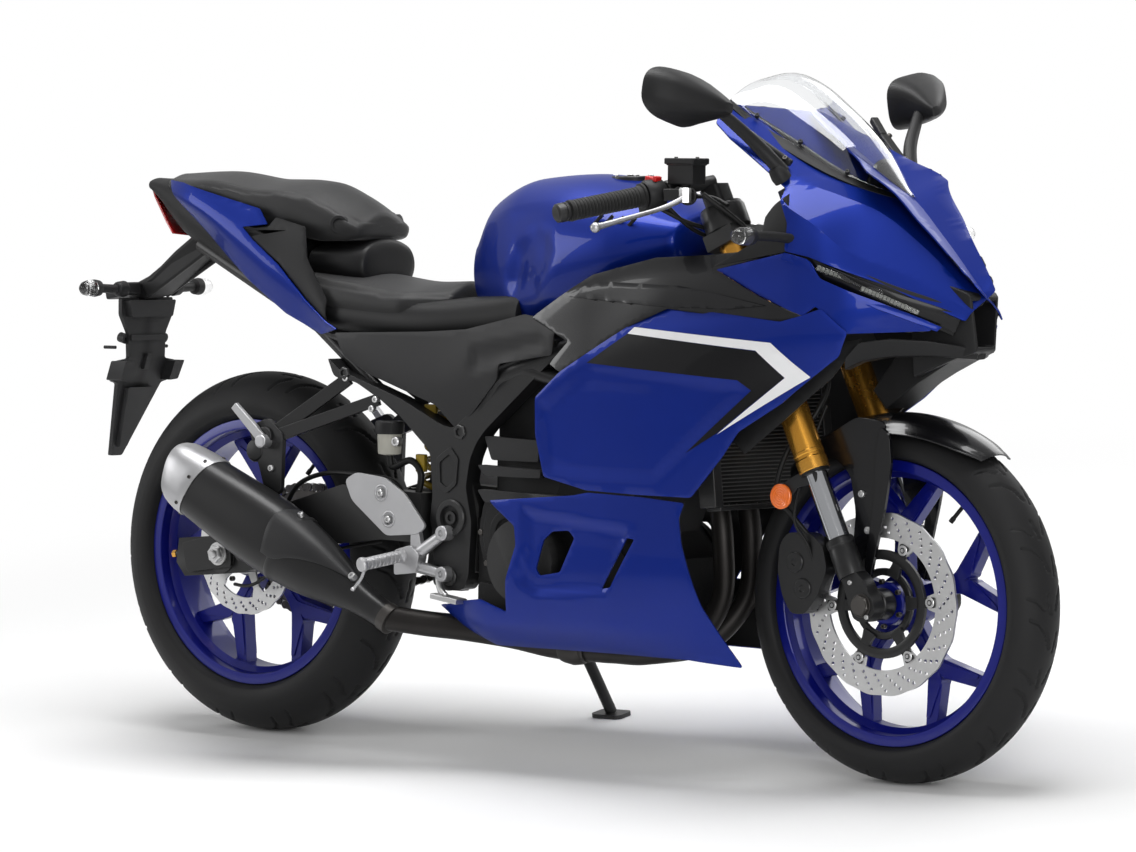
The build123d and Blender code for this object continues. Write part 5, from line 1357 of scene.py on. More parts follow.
signals, lenses = [], []
signal_cup, swept = [(-2, 9), (2, 14), (12, 15.5), (16, 15)], 0.12
for hand in (-1, 1):
    signals.append(pipe_mesh([(606, hand * 196, 880), (596, hand * 230, 884), (584, hand * 266, 886)], 9, 14,
                             5, 0.8))
    signals.append(turned_mesh((578, hand * 268, 885), (swept, hand, 0), signal_cup, 28))
    lenses.append(turned_mesh((578, hand * 268, 885), (swept, hand, 0),
                              [(16, 14.6), (34, 14.2), (46, 11.8), (52, 7), (54, 0.5)], 28))
    signals.append(pipe_mesh([(-990, hand * 84, 768), (-992, hand * 106, 769), (-994, hand * 126, 770)], 8,
                             14, 4))
    signals.append(boss(hand, (-994, 122, 770), signal_cup, 28))
    lenses.append(boss(hand, (-994, 122, 770), [(16, 14.6), (30, 14.0), (38, 11.8), (44, 7), (46, 0.5)], 28))
solid("signal_bodies", signals, trim_black, "chassis", ["turn_signals"], creased=40)
solid("signal_lenses", lenses, lamp_lens, "chassis", ["turn_signals"], creased=40)
solid("cockpit_shell", [box_mesh((562, 0, 905), (26, 214, 108), pitched(-37)),
                        box_mesh((542, 0, 914), (40, 150, 14), pitched(-20))],
      trim_black, "chassis", ["cockpit"], bevel=6.0)
solid("cockpit_display", [box_mesh((548, 0, 914), (3, 150, 72), pitched(-37))],
      black_film, bevel=1.0)


# ---------------------------------------------------------------- fork, brake and front mudguard

fork_up = (-math.sin(rake), 0.0, math.cos(rake))


def leg(height, hand):
    """A place on the middle line of a fork leg."""
    return (head_foot - math.tan(rake) * height + fork_offset * math.cos(rake), hand * leg_y,
            height + fork_offset * math.sin(rake))


# profiles along a leg: distance up it, radius
outer_profile = [(0, 19), (0, 24.6), (1.5, 26), (20, 26), (22, 24.8), (27, 24.8), (29, 26), (33, 26),
                 (34, 25.4), (450, 25.4), (451, 24)]
cap_profile = [(-2, 24), (3, 23.4), (5, 21), (5, 12), (9, 11), (9, 3)]
seal_profile = [(-5, 19), (-5, 22.5), (-3, 24), (0, 24.2), (1, 20)]
foot_profile = [(0, 20), (0, 22.5), (8, 23), (44, 23), (46, 22.2), (52, 22.2), (54, 23.4), (62, 23.4),
                (65, 21.5), (66, 19)]
outers, caps, feet, seals = [], [], [], []
for hand in (-1, 1):
    outers.append(turned_mesh(leg(492, hand), fork_up, outer_profile, 64))
    caps.append(turned_mesh(leg(901, hand), fork_up, cap_profile, 40))
    seals.append(turned_mesh(leg(492, hand), fork_up, seal_profile, 48))
    feet.append(turned_mesh(leg(326, hand), fork_up, foot_profile, 56))
    line = [(672, 352), (690, 338), (714, 300), (716, 286), (706, 270), (690, 266), (674, 272), (666, 292),
            (652, 330), (640, 350), (648, 372), (664, 366)]
    feet.append(side_plate(hand, softened(line, 7), leg_y - 15, 30))
    feet.append(turned_mesh((690, hand * (leg_y - 16), 293.9), (0, 1, 0),
                            [(0, 12), (0, 24), (2, 26), (30, 26), (32, 24), (32, 12)], 48))
solid("fork_outer_tubes", outers, fork_gold, "steering", ["fork_outers"], creased=28)
solid("fork_caps", caps, frame_black, "steering", creased=28)
solid("fork_seals", seals, hose_rubber, "steering", creased=28)
solid("fork_feet", feet, frame_black, "steering", ["fork_bottoms"], bevel=1.6, creased=30)
scatter("fork_pinch_bolts", [((x, -leg_y - 15.5, z), (0, -1, 0), (1, 0, 0), 0.9)
                             for x, z in ((668, 330), (702, 276), (652, 360))], bolt, brushed, "steering")
cap_at = (690, -leg_y - 14, 293.9)
solid("axle_cap", [turned_mesh(cap_at, (0, -1, 0), [(0, 17), (6, 17), (8, 15), (8, 8), (3, 7)], 6),
                   turned_mesh(cap_at, (0, -1, 0), [(0, 19), (2.4, 19), (3, 18)], 40)], dark_steel,
      "steering", creased=25, slot="steel")

guard_points = []
steps, across_steps = 56, 32
for i in range(steps + 1):
    t = i / steps
    a = math.radians(53 + 81 * t)
    half = through([0, 0.10, 0.3, 1.0], [36, 56, 64, 65], t)
    drop = through([0, 0.15, 0.45, 0.7, 1.0], [13, 24, 36, 42, 46], t)
    for k in range(across_steps + 1):
        s = 2 * k / across_steps - 1
        lip = max(0.0, (abs(s) - 0.84) / 0.16)
        y = half * (math.sin(s * 1.25) / math.sin(1.25)) + math.copysign(3.4 * lip, s)
        r = 307.6 - drop * (1 - math.cos(s * 1.45)) / (1 - math.cos(1.45)) + 2.0 * lip
        guard_points.append((front_wheel["x"] + r * math.cos(a), y, front_wheel["z"] + r * math.sin(a)))
guard = piece("mudguard_shell", guard_points, sheet_faces(steps + 1, across_steps + 1), gloss_black,
              "steering", ["front_mudguard"], creased=50, merge=False)
thicken(guard, 2.6, 0.6)
plates, blades = [], []
for hand in (-1, 1):
    rear_leg = [(560, 520), (566, 552), (640, 594), (700, 588), (690, 520), (676, 440), (664, 372),
                (646, 356), (636, 380), (642, 440), (630, 500), (600, 526)]
    plates.append(side_plate(hand, softened(rear_leg, 12), 66.5, 5))
    blade = [(694, 582), (712, 566), (716, 520), (704, 450), (688, 384), (674, 324), (664, 318), (664, 350),
             (672, 400), (682, 470), (684, 540)]
    blades.append(side_plate(hand, softened(blade, 9), 70.5, 7))
solid("mudguard_legs", plates, gloss_black, "steering", ["front_mudguard"], bevel=1.6)
solid("mudguard_blades", blades, gloss_black, "steering", bevel=3.0)
scatter("mudguard_bolts", [((x, hand * 72.5, z), (0, hand, 0), (1, 0, 0), 1.35)
                           for x, z in ((655, 470), (668, 412)) for hand in (-1, 1)], bolt, brushed,
        "steering")

block = [(508, 384), (524, 404), (572, 404), (596, 384), (604, 346), (584, 300), (560, 272), (532, 272),
         (514, 300), (504, 340)]
body_outer = plate_mesh(softened(block, 10), -71, 27)
body_inner = plate_mesh(softened([(520, 384), (566, 384), (580, 340), (556, 288), (530, 292)], 8), -44, 12)
ears = [turned_mesh((x, -99, z), (0, -1, 0), [(-6, 17), (0, 17), (2, 15), (2, 6), (0, 5)], 36)
        for x, z in ((540, 356), (556, 314))]
solid("caliper_body", [body_outer, body_inner, *ears], frame_black, "steering", ["front_caliper"],
      bevel=3.0)
solid("caliper_carrier",
      [plate_mesh(softened([(580, 400), (606, 396), (640, 392), (640, 352), (606, 350), (590, 330),
                            (580, 360)], 6), -64, 10)], frame_black, "steering", ["front_caliper"],
      bevel=1.4)
scatter("caliper_bolts", [((x, -74.5, z), (0, -1, 0), (1, 0, 0), 1.2) for x, z in ((622, 382), (624, 362))],
        hexagon, brushed, "steering")
hose = [(560, -92, 402), (540, -104, 430), (512, -112, 470), (530, -104, 540), (564, -74, 600),
        (566, -50, 660), (528, -80, 740), (494, -86, 820), (452, -114, 890), (400, -170, 950)]
solid("front_brake_hose", [pipe_mesh(hose, 4.6, 14, 10)], hose_rubber, "steering", creased=60)
sensor = [(585, -84, 300), (570, -100, 380), (548, -112, 430), (566, -104, 520), (580, -70, 610)]
solid("wheel_sensor_lead", [pipe_mesh(sensor, 2.6, 10, 10)], hose_rubber, "steering", creased=60)
ribbed = [(0, 20.5), (4, 20.5), (5, 19.4)]
ribbed += [(5 + 0.5 * (k % 2), 19 - 1.9 * k) for k in range(10)]
ribbed.append((5.4, 0.2))
solid("side_reflectors", [boss(hand, (530, 122, 463), ribbed, 44) for hand in (-1, 1)],
      amber_lens, "steering", creased=20)
bracket = softened([(514, 474), (560, 500), (600, 506), (600, 488), (560, 478), (536, 446), (516, 450)], 5)
solid("reflector_brackets", [side_plate(hand, bracket, 118.5, 3) for hand in (-1, 1)], frame_black,
      "steering", bevel=0.6)

radiator_z, radiator_pitch = 534, pitched(-5.7)
fins = [box_mesh((402 - 0.1 * (z - radiator_z), 0, z), (24, 292, 1.5), radiator_pitch)
        for z in (443 + 6.2 * k for k in range(30))]
solid("radiator_fins", fins, fin_grey, "chassis", ["radiator"], creased=20)
tanks = [box_mesh((401, hand * 152, radiator_z), (34, 22, 188), radiator_pitch) for hand in (-1, 1)]
tanks += [box_mesh((401 - 0.1 * (z - radiator_z), 0, z), (30, 296, 7), radiator_pitch) for z in (438, 630)]
tanks += [box_mesh((390, 0, radiator_z), (4, 286, 180), radiator_pitch)]
tanks += [rod_mesh((388, hand * 100, 615), (290, hand * 106, 690), 8) for hand in (-1, 1)]
solid("radiator_tanks", tanks, frame_black, "chassis", ["radiator"], bevel=3.0)

# ---------------------------------------------------------------- bars and controls

grip_in, grip_out = Vector((316.0, 220.0, 946.0)), Vector((262.0, 345.0, 921.0))
sleeves, weights, housings, perches, lever_blades, joints, boxes = [], [], [], [], [], [], []
for hand in (-1, 1):
    a = Vector((grip_in.x, hand * grip_in.y, grip_in.z))
    b = Vector((grip_out.x, hand * grip_out.y, grip_out.z))
    run = (b - a).normalized()
    length = (b - a).length
    ribs = [(0, 12), (0, 21), (4, 21), (5, 18)]
    d = 9.0
    while d < length - 12:
        ribs += [(d, 17.0), (d + 3.2, 17.0), (d + 3.9, 16.1), (d + 5.2, 16.1)]
        d += 6.0
    ribs += [(length - 8, 17.6), (length - 2, 17.6), (length, 12)]
    sleeves.append(turned_mesh(a, run, ribs, 40))
    weights.append(turned_mesh(b, run, [(0, 11), (1, 15), (3, 16), (6, 16), (7, 14.6), (9, 14.6), (10, 16),
                                        (20, 15.4), (23, 12), (22, 6)], 36))
    housings.append(turned_mesh(a - run * 37, run, [(0, 12), (0, 19), (2, 22), (12, 24.5), (30, 24.5),
                                                    (34, 22), (35, 18)], 36))
    boxes.append(bar_between(1, tuple(a - run * 34 + Vector((-8, 0, -14))),
                             tuple(a - run * 4 + Vector((-8, 0, -14))), 30, 34))
    perches.append(turned_mesh(a - run * 62, run, [(0, 12), (0, 16), (2, 17.5), (18, 17.5), (20, 16)], 32))
    perches.append(bar_between(hand, (352, 206, 948), (392, 194, 950), 20, 20, 0.8))
    route = [(392, hand * 202, 947), (384, hand * 214, 938), (366, hand * 240, 925), (344, hand * 290, 911),
             (326, hand * 334, 899), (321, hand * 346, 896)]
    lever_blades.append(pipe_mesh(route, lambda t: 7.5 - 2.4 * math.sin(math.pi * min(1, t * 1.1)), 16, 8,
                                  0.7))
    ball = [(8.5 * -math.cos(k * math.pi / 10), max(0.1, 8.5 * math.sin(k * math.pi / 10)))
            for k in range(11)]
    lever_blades.append(turned_mesh((321, hand * 347, 895.5), (-0.2, hand * 0.9, -0.3), ball, 24))
    joints.append(turned_mesh((390, hand * 203, 936), (0, 0, 1), [(0, 7), (0, 10), (22, 10), (24, 8),
                                                                  (24, 4)], 6))
solid("grip_sleeves", sleeves, grip_rubber, "steering", ["grips"], creased=30)
solid("bar_end_weights", weights, frame_black, "steering", ["grips"], creased=30)
solid("switch_housings", housings, trim_black, "steering", creased=40)
solid("switch_boxes", boxes, trim_black, "steering", bevel=5.0)
solid("lever_perches", perches, frame_black, "steering", bevel=2.0)
solid("lever_blades", lever_blades, cast_silver, "steering", ["levers"], creased=50)
solid("lever_pivots", joints, brushed, "steering", creased=25)
solid("stop_switch", [box_mesh((322, -204, 972), (22, 13, 10), pitched(14)),
                      box_mesh((334, -206, 974), (7, 17, 9), pitched(14))], red_plastic, "steering",
      bevel=2.0)
solid("left_switches", [box_mesh((316, 206, 968), (18, 14, 8)), box_mesh((298, 218, 950), (10, 16, 10)),
                        box_mesh((300, 204, 938), (9, 12, 9))], trim_grey, "steering", bevel=2.0,
      slot="black_plastic")
cup = (373.0, -178.0, 968.0)
solid("brake_reservoir", [box_mesh((cup[0], cup[1], cup[2] + 14), (52, 36, 34)),
                          box_mesh((cup[0], cup[1], cup[2] + 35), (61, 43, 10)),
                          box_mesh((cup[0], cup[1], cup[2] + 30), (56, 39, 4))], trim_black,
      "steering", ["front_reservoir"], bevel=5.0)
scatter("reservoir_screws", [((cup[0] + dx, cup[1], cup[2] + 40), (0, 0, 1), (1, 0, 0), 0.7)
                             for dx in (-22, 22)], bolt, dark_steel, "steering")
solid("master_cylinder", [rod_mesh((372, -196, 950), (356, -150, 946), 12),
                          rod_mesh((360, -160, 946), (357, -152, 946), 15),
                          rod_mesh(cup, (366, -180, 948), 9)], frame_black, "steering", bevel=1.5)
leads = [[(330, -192, 926), (354, -160, 906), (376, -116, 890), (386, -86, 872)],
         [(326, 192, 926), (354, 160, 906), (376, 116, 890), (386, 86, 872)],
         [(332, -190, 938), (358, -150, 896), (376, -96, 872)],
         [(360, -146, 946), (396, -138, 944), (430, -142, 932)],
         [(380, 190, 942), (408, 166, 922), (430, 146, 898), (440, 134, 868)]]
solid("control_leads", [pipe_mesh(route, 3.6, 10, 10) for route in leads], hose_rubber, "steering",
      creased=60)
clamp = [(-2, 26), (-2, 36), (0, 38), (34, 38), (38, 36), (38, 26)]
solid("bar_clamps", [turned_mesh(leg(879, hand), fork_up, clamp, 48) for hand in (-1, 1)], frame_black,
      "steering", creased=30)
solid("stem_nut", [turned_mesh((head_foot - math.tan(rake) * 884, 0, 884), fork_up,
                               [(-6, 16), (-6, 19), (10, 19), (12, 17), (12, 9), (4, 8)], 6)], brushed,
      "steering", creased=25)
solid("key_switch", [turned_mesh((430, 0, 892), fork_up, [(-20, 20), (0, 20), (2, 18), (2, 7), (-1, 6)], 40)],
      frame_black, "steering", creased=30)


# ---------------------------------------------------------------- frame castings and engine covers

arms = softened([(-440, 664), (-412, 642), (-275, 598), (-182, 556), (-156, 551), (-140, 562), (-26, 652),
                 (68, 708), (70, 680), (-85, 550), (-104, 528), (-118, 500), (-127, 452), (-114, 394),
                 (-120, 300), (-130, 280), (-168, 276), (-198, 286), (-196, 362), (-206, 395), (-200, 437),
                 (-206, 505), (-216, 518), (-287, 578), (-374, 622), (-424, 630)], 9)
pocket = softened([(-190, 500), (-160, 520), (-142, 500), (-146, 456), (-168, 440), (-188, 452)], 5)
pocket_hole = softened([(x * 0.72 - 46, z * 0.72 + 133) for x, z in pocket], 2)
pivot_profile = [(0, 31), (6, 31), (8, 29), (8, 21), (3, 19), (3, 12), (6, 11), (6, 6), (2, 5)]
castings, bosses, ribs = [], [], []
for hand in (-1, 1):
    castings.append(side_plate(hand, arms, 104, 35, step=40))
    ribs.append(side_plate(hand, pocket, 138, 3.5, [pocket_hole]))
    bosses.append(boss(hand, (-158, 136, 400), pivot_profile, 44))
    for x, z, r in ((-160, 300, 15), (-140, 545, 13), (-400, 637, 11)):
        bosses.append(boss(hand, (x, 137, z), [(0, r), (4, r), (5.5, r - 1.5), (5.5, r * 0.55), (3, r * 0.5)],
                           6 if r < 14 else 32))
solid("frame_castings", castings, frame_black, bevel=5.0)
solid("frame_ribs", ribs, frame_black, bevel=1.2)
solid("frame_bosses", bosses, frame_black, creased=28)

cover = softened([(-82, 440), (-30, 447), (22, 418), (34, 372), (16, 318), (-30, 296), (-78, 316),
                  (-96, 372)], 22)
lid = [(x * 0.8 - 5, z * 0.8 + 75) for x, z in cover]
oil_cap = [(0, 40), (4, 40), (6, 38), (6, 26), (3, 24), (3, 8), (5, 7)]
generator = [(0, 84), (14, 84), (22, 76), (25, 60), (25, 22), (22, 20), (22, 8)]
sprocket_cover = [(-140, 430), (-80, 446), (-20, 430), (0, 380), (-30, 340), (-110, 330), (-146, 370)]
sump = [(-104, 296), (-60, 290), (60, 262), (60, 236), (-40, 226), (-104, 248)]
solid("engine_covers", [plate_mesh(cover, -118, 24), plate_mesh(lid, -140, 9),
                        turned_mesh((-24, -146, 380), (0, -1, 0), oil_cap, 52),
                        turned_mesh((130, 120, 320), (0, 1, 0), generator, 64),
                        plate_mesh(softened(sprocket_cover, 20), 150, 28),
                        plate_mesh(softened(sump, 10), -110, 22)], engine_black, bevel=3.5)
middle = Vector((-30, 373))
cover_spots = []
for corner in cover[2::4]:
    x, z = Vector(corner).lerp(middle, 0.07)
    cover_spots.append(((x, -142.4, z), (0, -1, 0), (1, 0, 0), 0.8))
for a in (math.radians(20 + 45 * k) for k in range(8)):
    cover_spots.append(((130 + 76 * math.cos(a), 136, 320 + 76 * math.sin(a)), (0, 1, 0), (1, 0, 0), 0.8))
scatter("cover_bolts", cover_spots, hexagon, dark_steel)
slats = []
for hand in (-1, 1):
    for low, high, back, front, near in ((500, 540, -92, 26, 116), (474, 492, -95, 42, 130),
                                         (430, 451, -92, 88, 134)):
        slat = softened([(back, high), (front, high - 4), (front, low), (back + 16, low)], 5)
        slats.append(side_plate(hand, slat, near, 16, step=30))
solid("rear_slats", slats, trim_black, bevel=3.0)

# ---------------------------------------------------------------- footrests

guards, guard_bolts, brackets, pegs, foot_levers = [], [], [], [], []
heel = softened([(-379, 456), (-354, 470), (-289, 463), (-243, 437), (-196, 384), (-216, 370), (-285, 365),
                 (-363, 422)], 9)
peg_holder = softened([(-262, 342), (-226, 352), (-206, 336), (-214, 306), (-262, 300)], 6)
peg_stop = softened([(-232, 372), (-214, 376), (-206, 340), (-232, 336)], 4)
bracket_boss = [(0, 13), (20, 13), (22, 11), (22, 6), (18, 5)]
for hand in (-1, 1):
    guards.append(side_plate(hand, heel, 155, 5))
    for x, z in ((-297, 437), (-280, 393)):
        guards.append(boss(hand, (x, 159.4, z), [(0, 15), (1.6, 14.4), (2.4, 12.5), (0.6, 10.5)], 36))
        guard_bolts.append(((x, hand * 160.4, z), (0, hand, 0), (1, 0, 0), 1.4))
    brackets += [rod_mesh((-164, hand * 148, 374), (-232, hand * 152, 330), 9, 12),
                 rod_mesh((-164, hand * 148, 305), (-236, hand * 152, 318), 9, 11),
                 boss(hand, (-164, 138, 374), bracket_boss, 28),
                 boss(hand, (-164, 138, 305), bracket_boss, 28),
                 side_plate(hand, peg_holder, 144, 22), side_plate(hand, peg_stop, 148, 10)]
    start, end = Vector((-244, hand * 158, 334)), Vector((-266, hand * 246, 320))
    run = end - start
    knurl = [(0, 12.5), (8, 12.5), (10, 10.5)]
    for k in range(9):
        knurl += [(12 + k * 8, 9.2), (13 + k * 8, 10.6), (18 + k * 8, 10.6), (19 + k * 8, 9.2)]
    pegs.append(turned_mesh(start, run, knurl + [(85, 12.5), (90, 12.8), (93, 11), (93, 2)], 28))
    pegs.append(pipe_mesh([(-263, hand * 240, 312), (-268, hand * 243, 296), (-282, hand * 247, 278)], 2.6,
                          10, 4))
    pegs.append(turned_mesh((-282, hand * 247, 279), (0.1, 0, -1), [(-3, 2), (-1, 4), (2, 4), (4, 1)], 14))
    foot_levers += [pipe_mesh([(-180, hand * 146, 300), (-170, hand * 152, 280), (-150, hand * 160, 268)],
                              6, 12, 5), box_mesh((-140, hand * 166, 266), (58, 30, 9), pitched(8))]
solid("heel_plates", guards, cast_silver, "chassis", ["rider_footrests"], bevel=1.6)
scatter("heel_plate_bolts", guard_bolts, bolt, brushed)
solid("footrest_brackets", brackets, cast_silver, "chassis", ["rider_footrests"], bevel=2.0)
solid("footrest_pegs", pegs, cast_silver, "chassis", ["rider_footrests"], creased=25)
solid("foot_levers", foot_levers, brushed, bevel=2.0)

hanger_plate = softened([(-600, 540), (-556, 556), (-520, 530), (-524, 430), (-556, 414), (-574, 470)], 8)
bracket_studs = ((-398, 137, 628), (-328, 140, 594), (-336, 140, 578), (-545, 163, 470))
arms, steps, studs = [], [], []
for hand in (-1, 1):
    arms += [bar_between(hand, (-396, 131, 628), (-562, 158, 518), 9, 22, 1.1),
             bar_between(hand, (-326, 134, 594), (-562, 158, 518), 9, 20, 1.1),
             side_plate(hand, hanger_plate, 152, 10),
             boss(hand, (-560, 150, 524), [(0, 17), (16, 17), (18, 15), (18, 8)], 30)]
    if hand < 0:
        arms += [turned_mesh((-585, -146, 499), (0, -1, 0), [(0, 20), (14, 20), (18, 17), (19, 6)], 32),
                 rod_mesh((-545, -160, 424), (-560, -192, 396), 12)]
    steps += [bar_between(hand, (-556, 168, 516), (-620, 175, 576), 12, 18, 0.75),
              boss(hand, (-556, 158, 516), [(0, 12), (22, 12), (24, 10), (24, 4)], 26)]
    studs += [((x, hand * y, z), (0, hand, 0), (1, 0, 0), 1.3) for x, y, z in bracket_studs]
solid("passenger_brackets", arms, frame_black, "chassis", ["passenger_footrests"], bevel=2.4)
solid("passenger_pegs", steps, cast_silver, "chassis", ["passenger_footrests"], bevel=3.0)
scatter("bracket_bolts", studs, bolt, brushed)

# ---------------------------------------------------------------- silencer

pipe_foot, pipe_tip = Vector((-266, -176, 228)), Vector((-712, -206, 458))
pipe_run = (pipe_tip - pipe_foot).normalized()
pipe_side = Vector((0, -1, 0)) - pipe_run * pipe_run.dot(Vector((0, -1, 0)))
pipe_side.normalize()
pipe_up = pipe_side.cross(pipe_run)
pipe_up = pipe_up if pipe_up.z > 0 else -pipe_up
squareness = 2.5


def pipe_at(share, angle, wide, tall, slant, out=0.0):
    """A place on the silencer: share of its length, angle up from its outer side, section size."""
    c, s = math.cos(angle), math.sin(angle)
    a = math.copysign(abs(c) ** (2 / squareness), c) * (wide / 2 + out)
    b = math.copysign(abs(s) ** (2 / squareness), s) * (tall / 2 + out)
    return pipe_foot.lerp(pipe_tip, share) + pipe_run * slant * b + pipe_side * a + pipe_up * b


def pipe_size(share):
    """The silencer's width and height at a share of its length."""
    shares = [0, 0.1, 0.2, 0.34, 0.46, 0.60, 0.9]
    return (through(shares, [44, 47, 60, 88, 98, 104, 100], share),
            through(shares, [44, 50, 72, 108, 124, 129, 114], share))


def sleeve(name, sections, finish, stands_for):
    """A part of the silencer: sections are (share of its length, width, height, slant)."""
    sides = 72
    points = [tuple(pipe_at(share, 2 * math.pi * k / sides, wide, tall, slant))
              for share, wide, tall, slant in sections for k in range(sides)]
    piece(name, points, tube_faces(len(sections), sides), finish, stands_for=stands_for, creased=40)


front = [(0.04 * k, *pipe_size(0.04 * k), 0.0) for k in range(12)]
front += [(share, *(size + band for size in pipe_size(at)), -0.1)
          for share, at, band in ((0.452, 0.45, 2), (0.46, 0.46, 5), (0.472, 0.47, 5), (0.478, 0.48, 1))]
sleeve("silencer_front", front, frame_black, ["muffler"])
sleeve("silencer_body", [(s, *pipe_size(s), -0.1 + (s - 0.47) * -0.15)
                         for s in (0.474, 0.5, 0.54, 0.58, 0.64, 0.7, 0.76, 0.82, 0.86, 0.89, 0.9)],
       frame_black, ["muffler"])
sleeve("silencer_cap", [(0.886, 103, 117, -0.16), (0.892, 105, 119, -0.16), (0.93, 104, 117, -0.08),
                        (0.97, 100, 112, 0.04), (1.0, 95, 106, 0.14), (1.018, 87, 97, 0.18),
                        (1.022, 76, 84, 0.18), (1.006, 58, 58, 0.14), (1.0, 52, 52, 0.0),
                        (0.9, 50, 50, 0.0)], cast_silver, ["muffler_end_cap"])
rivets = []
for k in range(8):
    a = math.radians(k * 45 + 18)
    spot = pipe_at(0.905, a, 104, 118, -0.13)
    out = (pipe_side * math.cos(a) + pipe_up * math.sin(a)).normalized()
    rivets.append((tuple(spot), tuple(out), tuple(pipe_run), 0.75))
scatter("silencer_rivets", rivets, bolt, dark_steel)
grid = []
for i in range(19):
    t = i / 18
    share = 0.15 + 0.36 * t
    low = math.radians(58 - 66 * min(1.0, t * 1.15) ** 0.8)
    high = math.radians(84 + 14 * t)
    lift = 4.0 + 5.0 * math.sin(math.pi * t)
    grid.append([pipe_at(share + 0.02 * math.sin(math.pi * j / 12), low + (high - low) * j / 12,
                         *pipe_size(share), 0.0,
                         lift * (0.35 + 0.65 * math.sin(math.pi * min(1.0, j / 12 + 0.15))))
                 for j in range(13)])
shield = piece("heat_shield_skin", [tuple(p) for row in grid for p in row], sheet_faces(19, 13), trim_grey,
               creased=50)
thicken(shield, 2.5, 0.8)
shield_spot = pipe_at(0.17, math.radians(60), *pipe_size(0.17), 0.0, 5.0)
scatter("shield_bolts", [(tuple(shield_spot), (0, -0.8, 0.6), (1, 0, 0), 1.5),
                         (tuple(pipe_at(0.47, math.radians(84), *pipe_size(0.47), 0.0, 6.0)),
                          (0, -0.3, 0.95), (1, 0, 0), 1.2)], bolt, brushed)

runs = [pipe_mesh([(-266, -176, 228), (-205, -150, 220), (-140, -122, 214), (-60, -94, 204), (20, -84, 192),
                   (100, -84, 188)], 21.5, 28, 10)]
for y in (-38, 38):
    runs.append(pipe_mesh([(238, y, 514), (296, y, 500), (330, y, 452), (345, y, 370), (338, y * 0.9, 280),
                           (290, y * 0.6 - 30, 208), (220, y * 0.4 - 62, 188), (150, -80, 186),
                           (60, -84, 188)], 18, 24, 9))
    runs.append(turned_mesh((262, y, 512), (1, 0, -0.2), [(-20, 30), (-12, 30), (-12, 22)], 6))
runs.append(turned_mesh((92, -84, 188), (-1, 0, 0), [(0, 20), (6, 25), (22, 27), (40, 24), (46, 22)], 32))
runs.append(turned_mesh(pipe_foot - pipe_run * 12, pipe_run, [(0, 22), (1, 25.5), (18, 25.5), (19, 23)], 40))
solid("exhaust_runs", runs, dark_steel, stands_for=["exhaust_pipes"], creased=40, slot="steel")

# ---------------------------------------------------------------- rear brake, swingarm ends and shock

cup_at = (-306, -128)
solid("rear_cup", [turned_mesh((*cup_at, 500), (0, 0, 1), [(0, 10), (2, 19), (6, 20), (38, 21)], 40)],
      cup_plastic, "chassis", ["rear_brake"], creased=40)
solid("rear_cup_cap", [turned_mesh((*cup_at, 536), (0, 0, 1), [(0, 21), (0, 24), (5, 25), (19, 25),
                                                               (22, 23), (22, 16), (20, 15)], 12)],
      trim_black, bevel=0.8)
scatter("cup_bolt", [((-282, -138, 524), (0, -1, 0), (1, 0, 0), 1.9)], bolt, brushed)
hoses = [[(-306, -128, 502), (-300, -126, 480), (-266, -120, 492), (-244, -118, 470), (-250, -120, 430),
          (-262, -122, 400)],
         [(-262, -122, 400), (-300, -118, 452), (-380, -112, 462), (-470, -106, 462), (-540, -98, 440),
          (-575, -92, 400)],
         [(-690, -96, 260), (-640, -104, 262), (-560, -112, 300), (-450, -116, 330), (-330, -118, 352)]]
solid("rear_hoses", [pipe_mesh(route, r, 12, 9) for route, r in zip(hoses, (6.0, 4.2, 3.0))], hose_rubber,
      creased=60)
outer_half = softened([(-640, 398), (-612, 420), (-560, 410), (-530, 380), (-546, 352), (-600, 362)], 8)
inner_half = softened([(-630, 392), (-600, 408), (-560, 398), (-556, 372), (-600, 372)], 8)
solid("rear_caliper", [plate_mesh(outer_half, -84, 24), plate_mesh(inner_half, -50, 12),
                       rod_mesh((-616, -108, 404), (-616, -116, 404), 8),
                       rod_mesh((-552, -108, 384), (-552, -116, 384), 8)], frame_black, "chassis",
      ["rear_brake"], bevel=2.4)
arm_end = softened([(-776, 330), (-690, 350), (-662, 336), (-660, 294), (-764, 280)], 6)
ends, nuts, tags = [], [], []
for hand in (-1, 1):
    ends.append(side_plate(hand, arm_end, 131, 8))
    ends.append(rod_mesh((-790, hand * 118, 310), (-806, hand * 118, 309), 5))
    nuts += [boss(hand, (-690, 138, 315), [(0, 20), (3, 20), (3, 17)], 36),
             boss(hand, (-690, 140, 315), [(0, 15.5), (10, 15.5), (12, 13.5), (12, 8.5), (9, 8)], 6),
             boss(hand, (-690, 140, 315), [(9, 8), (16, 7.6), (18, 5)], 24)]
    tags.append(rod_mesh((-806, hand * 118, 309), (-814, hand * 118, 308), 7, sides=6))
solid("arm_ends", ends, frame_black, bevel=1.8)
solid("rear_axle_nuts", nuts, brushed, creased=25)
solid("chain_adjusters", tags, fork_gold, creased=25)
low, high = Vector((-305, 0, 424)), Vector((-266, 0, 628))
run = (high - low).normalized()
side = run.cross(Vector((0, 1, 0)))
coil_radius, coil_turns, coil_steps = 33, 7, 12
coil = []
for k in range(coil_turns * coil_steps + 1):
    a = 2 * math.pi * k / coil_steps
    outward = side * math.cos(a) + Vector((0, 1, 0)) * math.sin(a)
    coil.append(tuple(low.lerp(high, k / (coil_turns * coil_steps)) + outward * coil_radius))
solid("shock_spring", [pipe_mesh(coil, 5.5, 12, 2)], tag_yellow, "chassis", ["rear_shock"], creased=60)
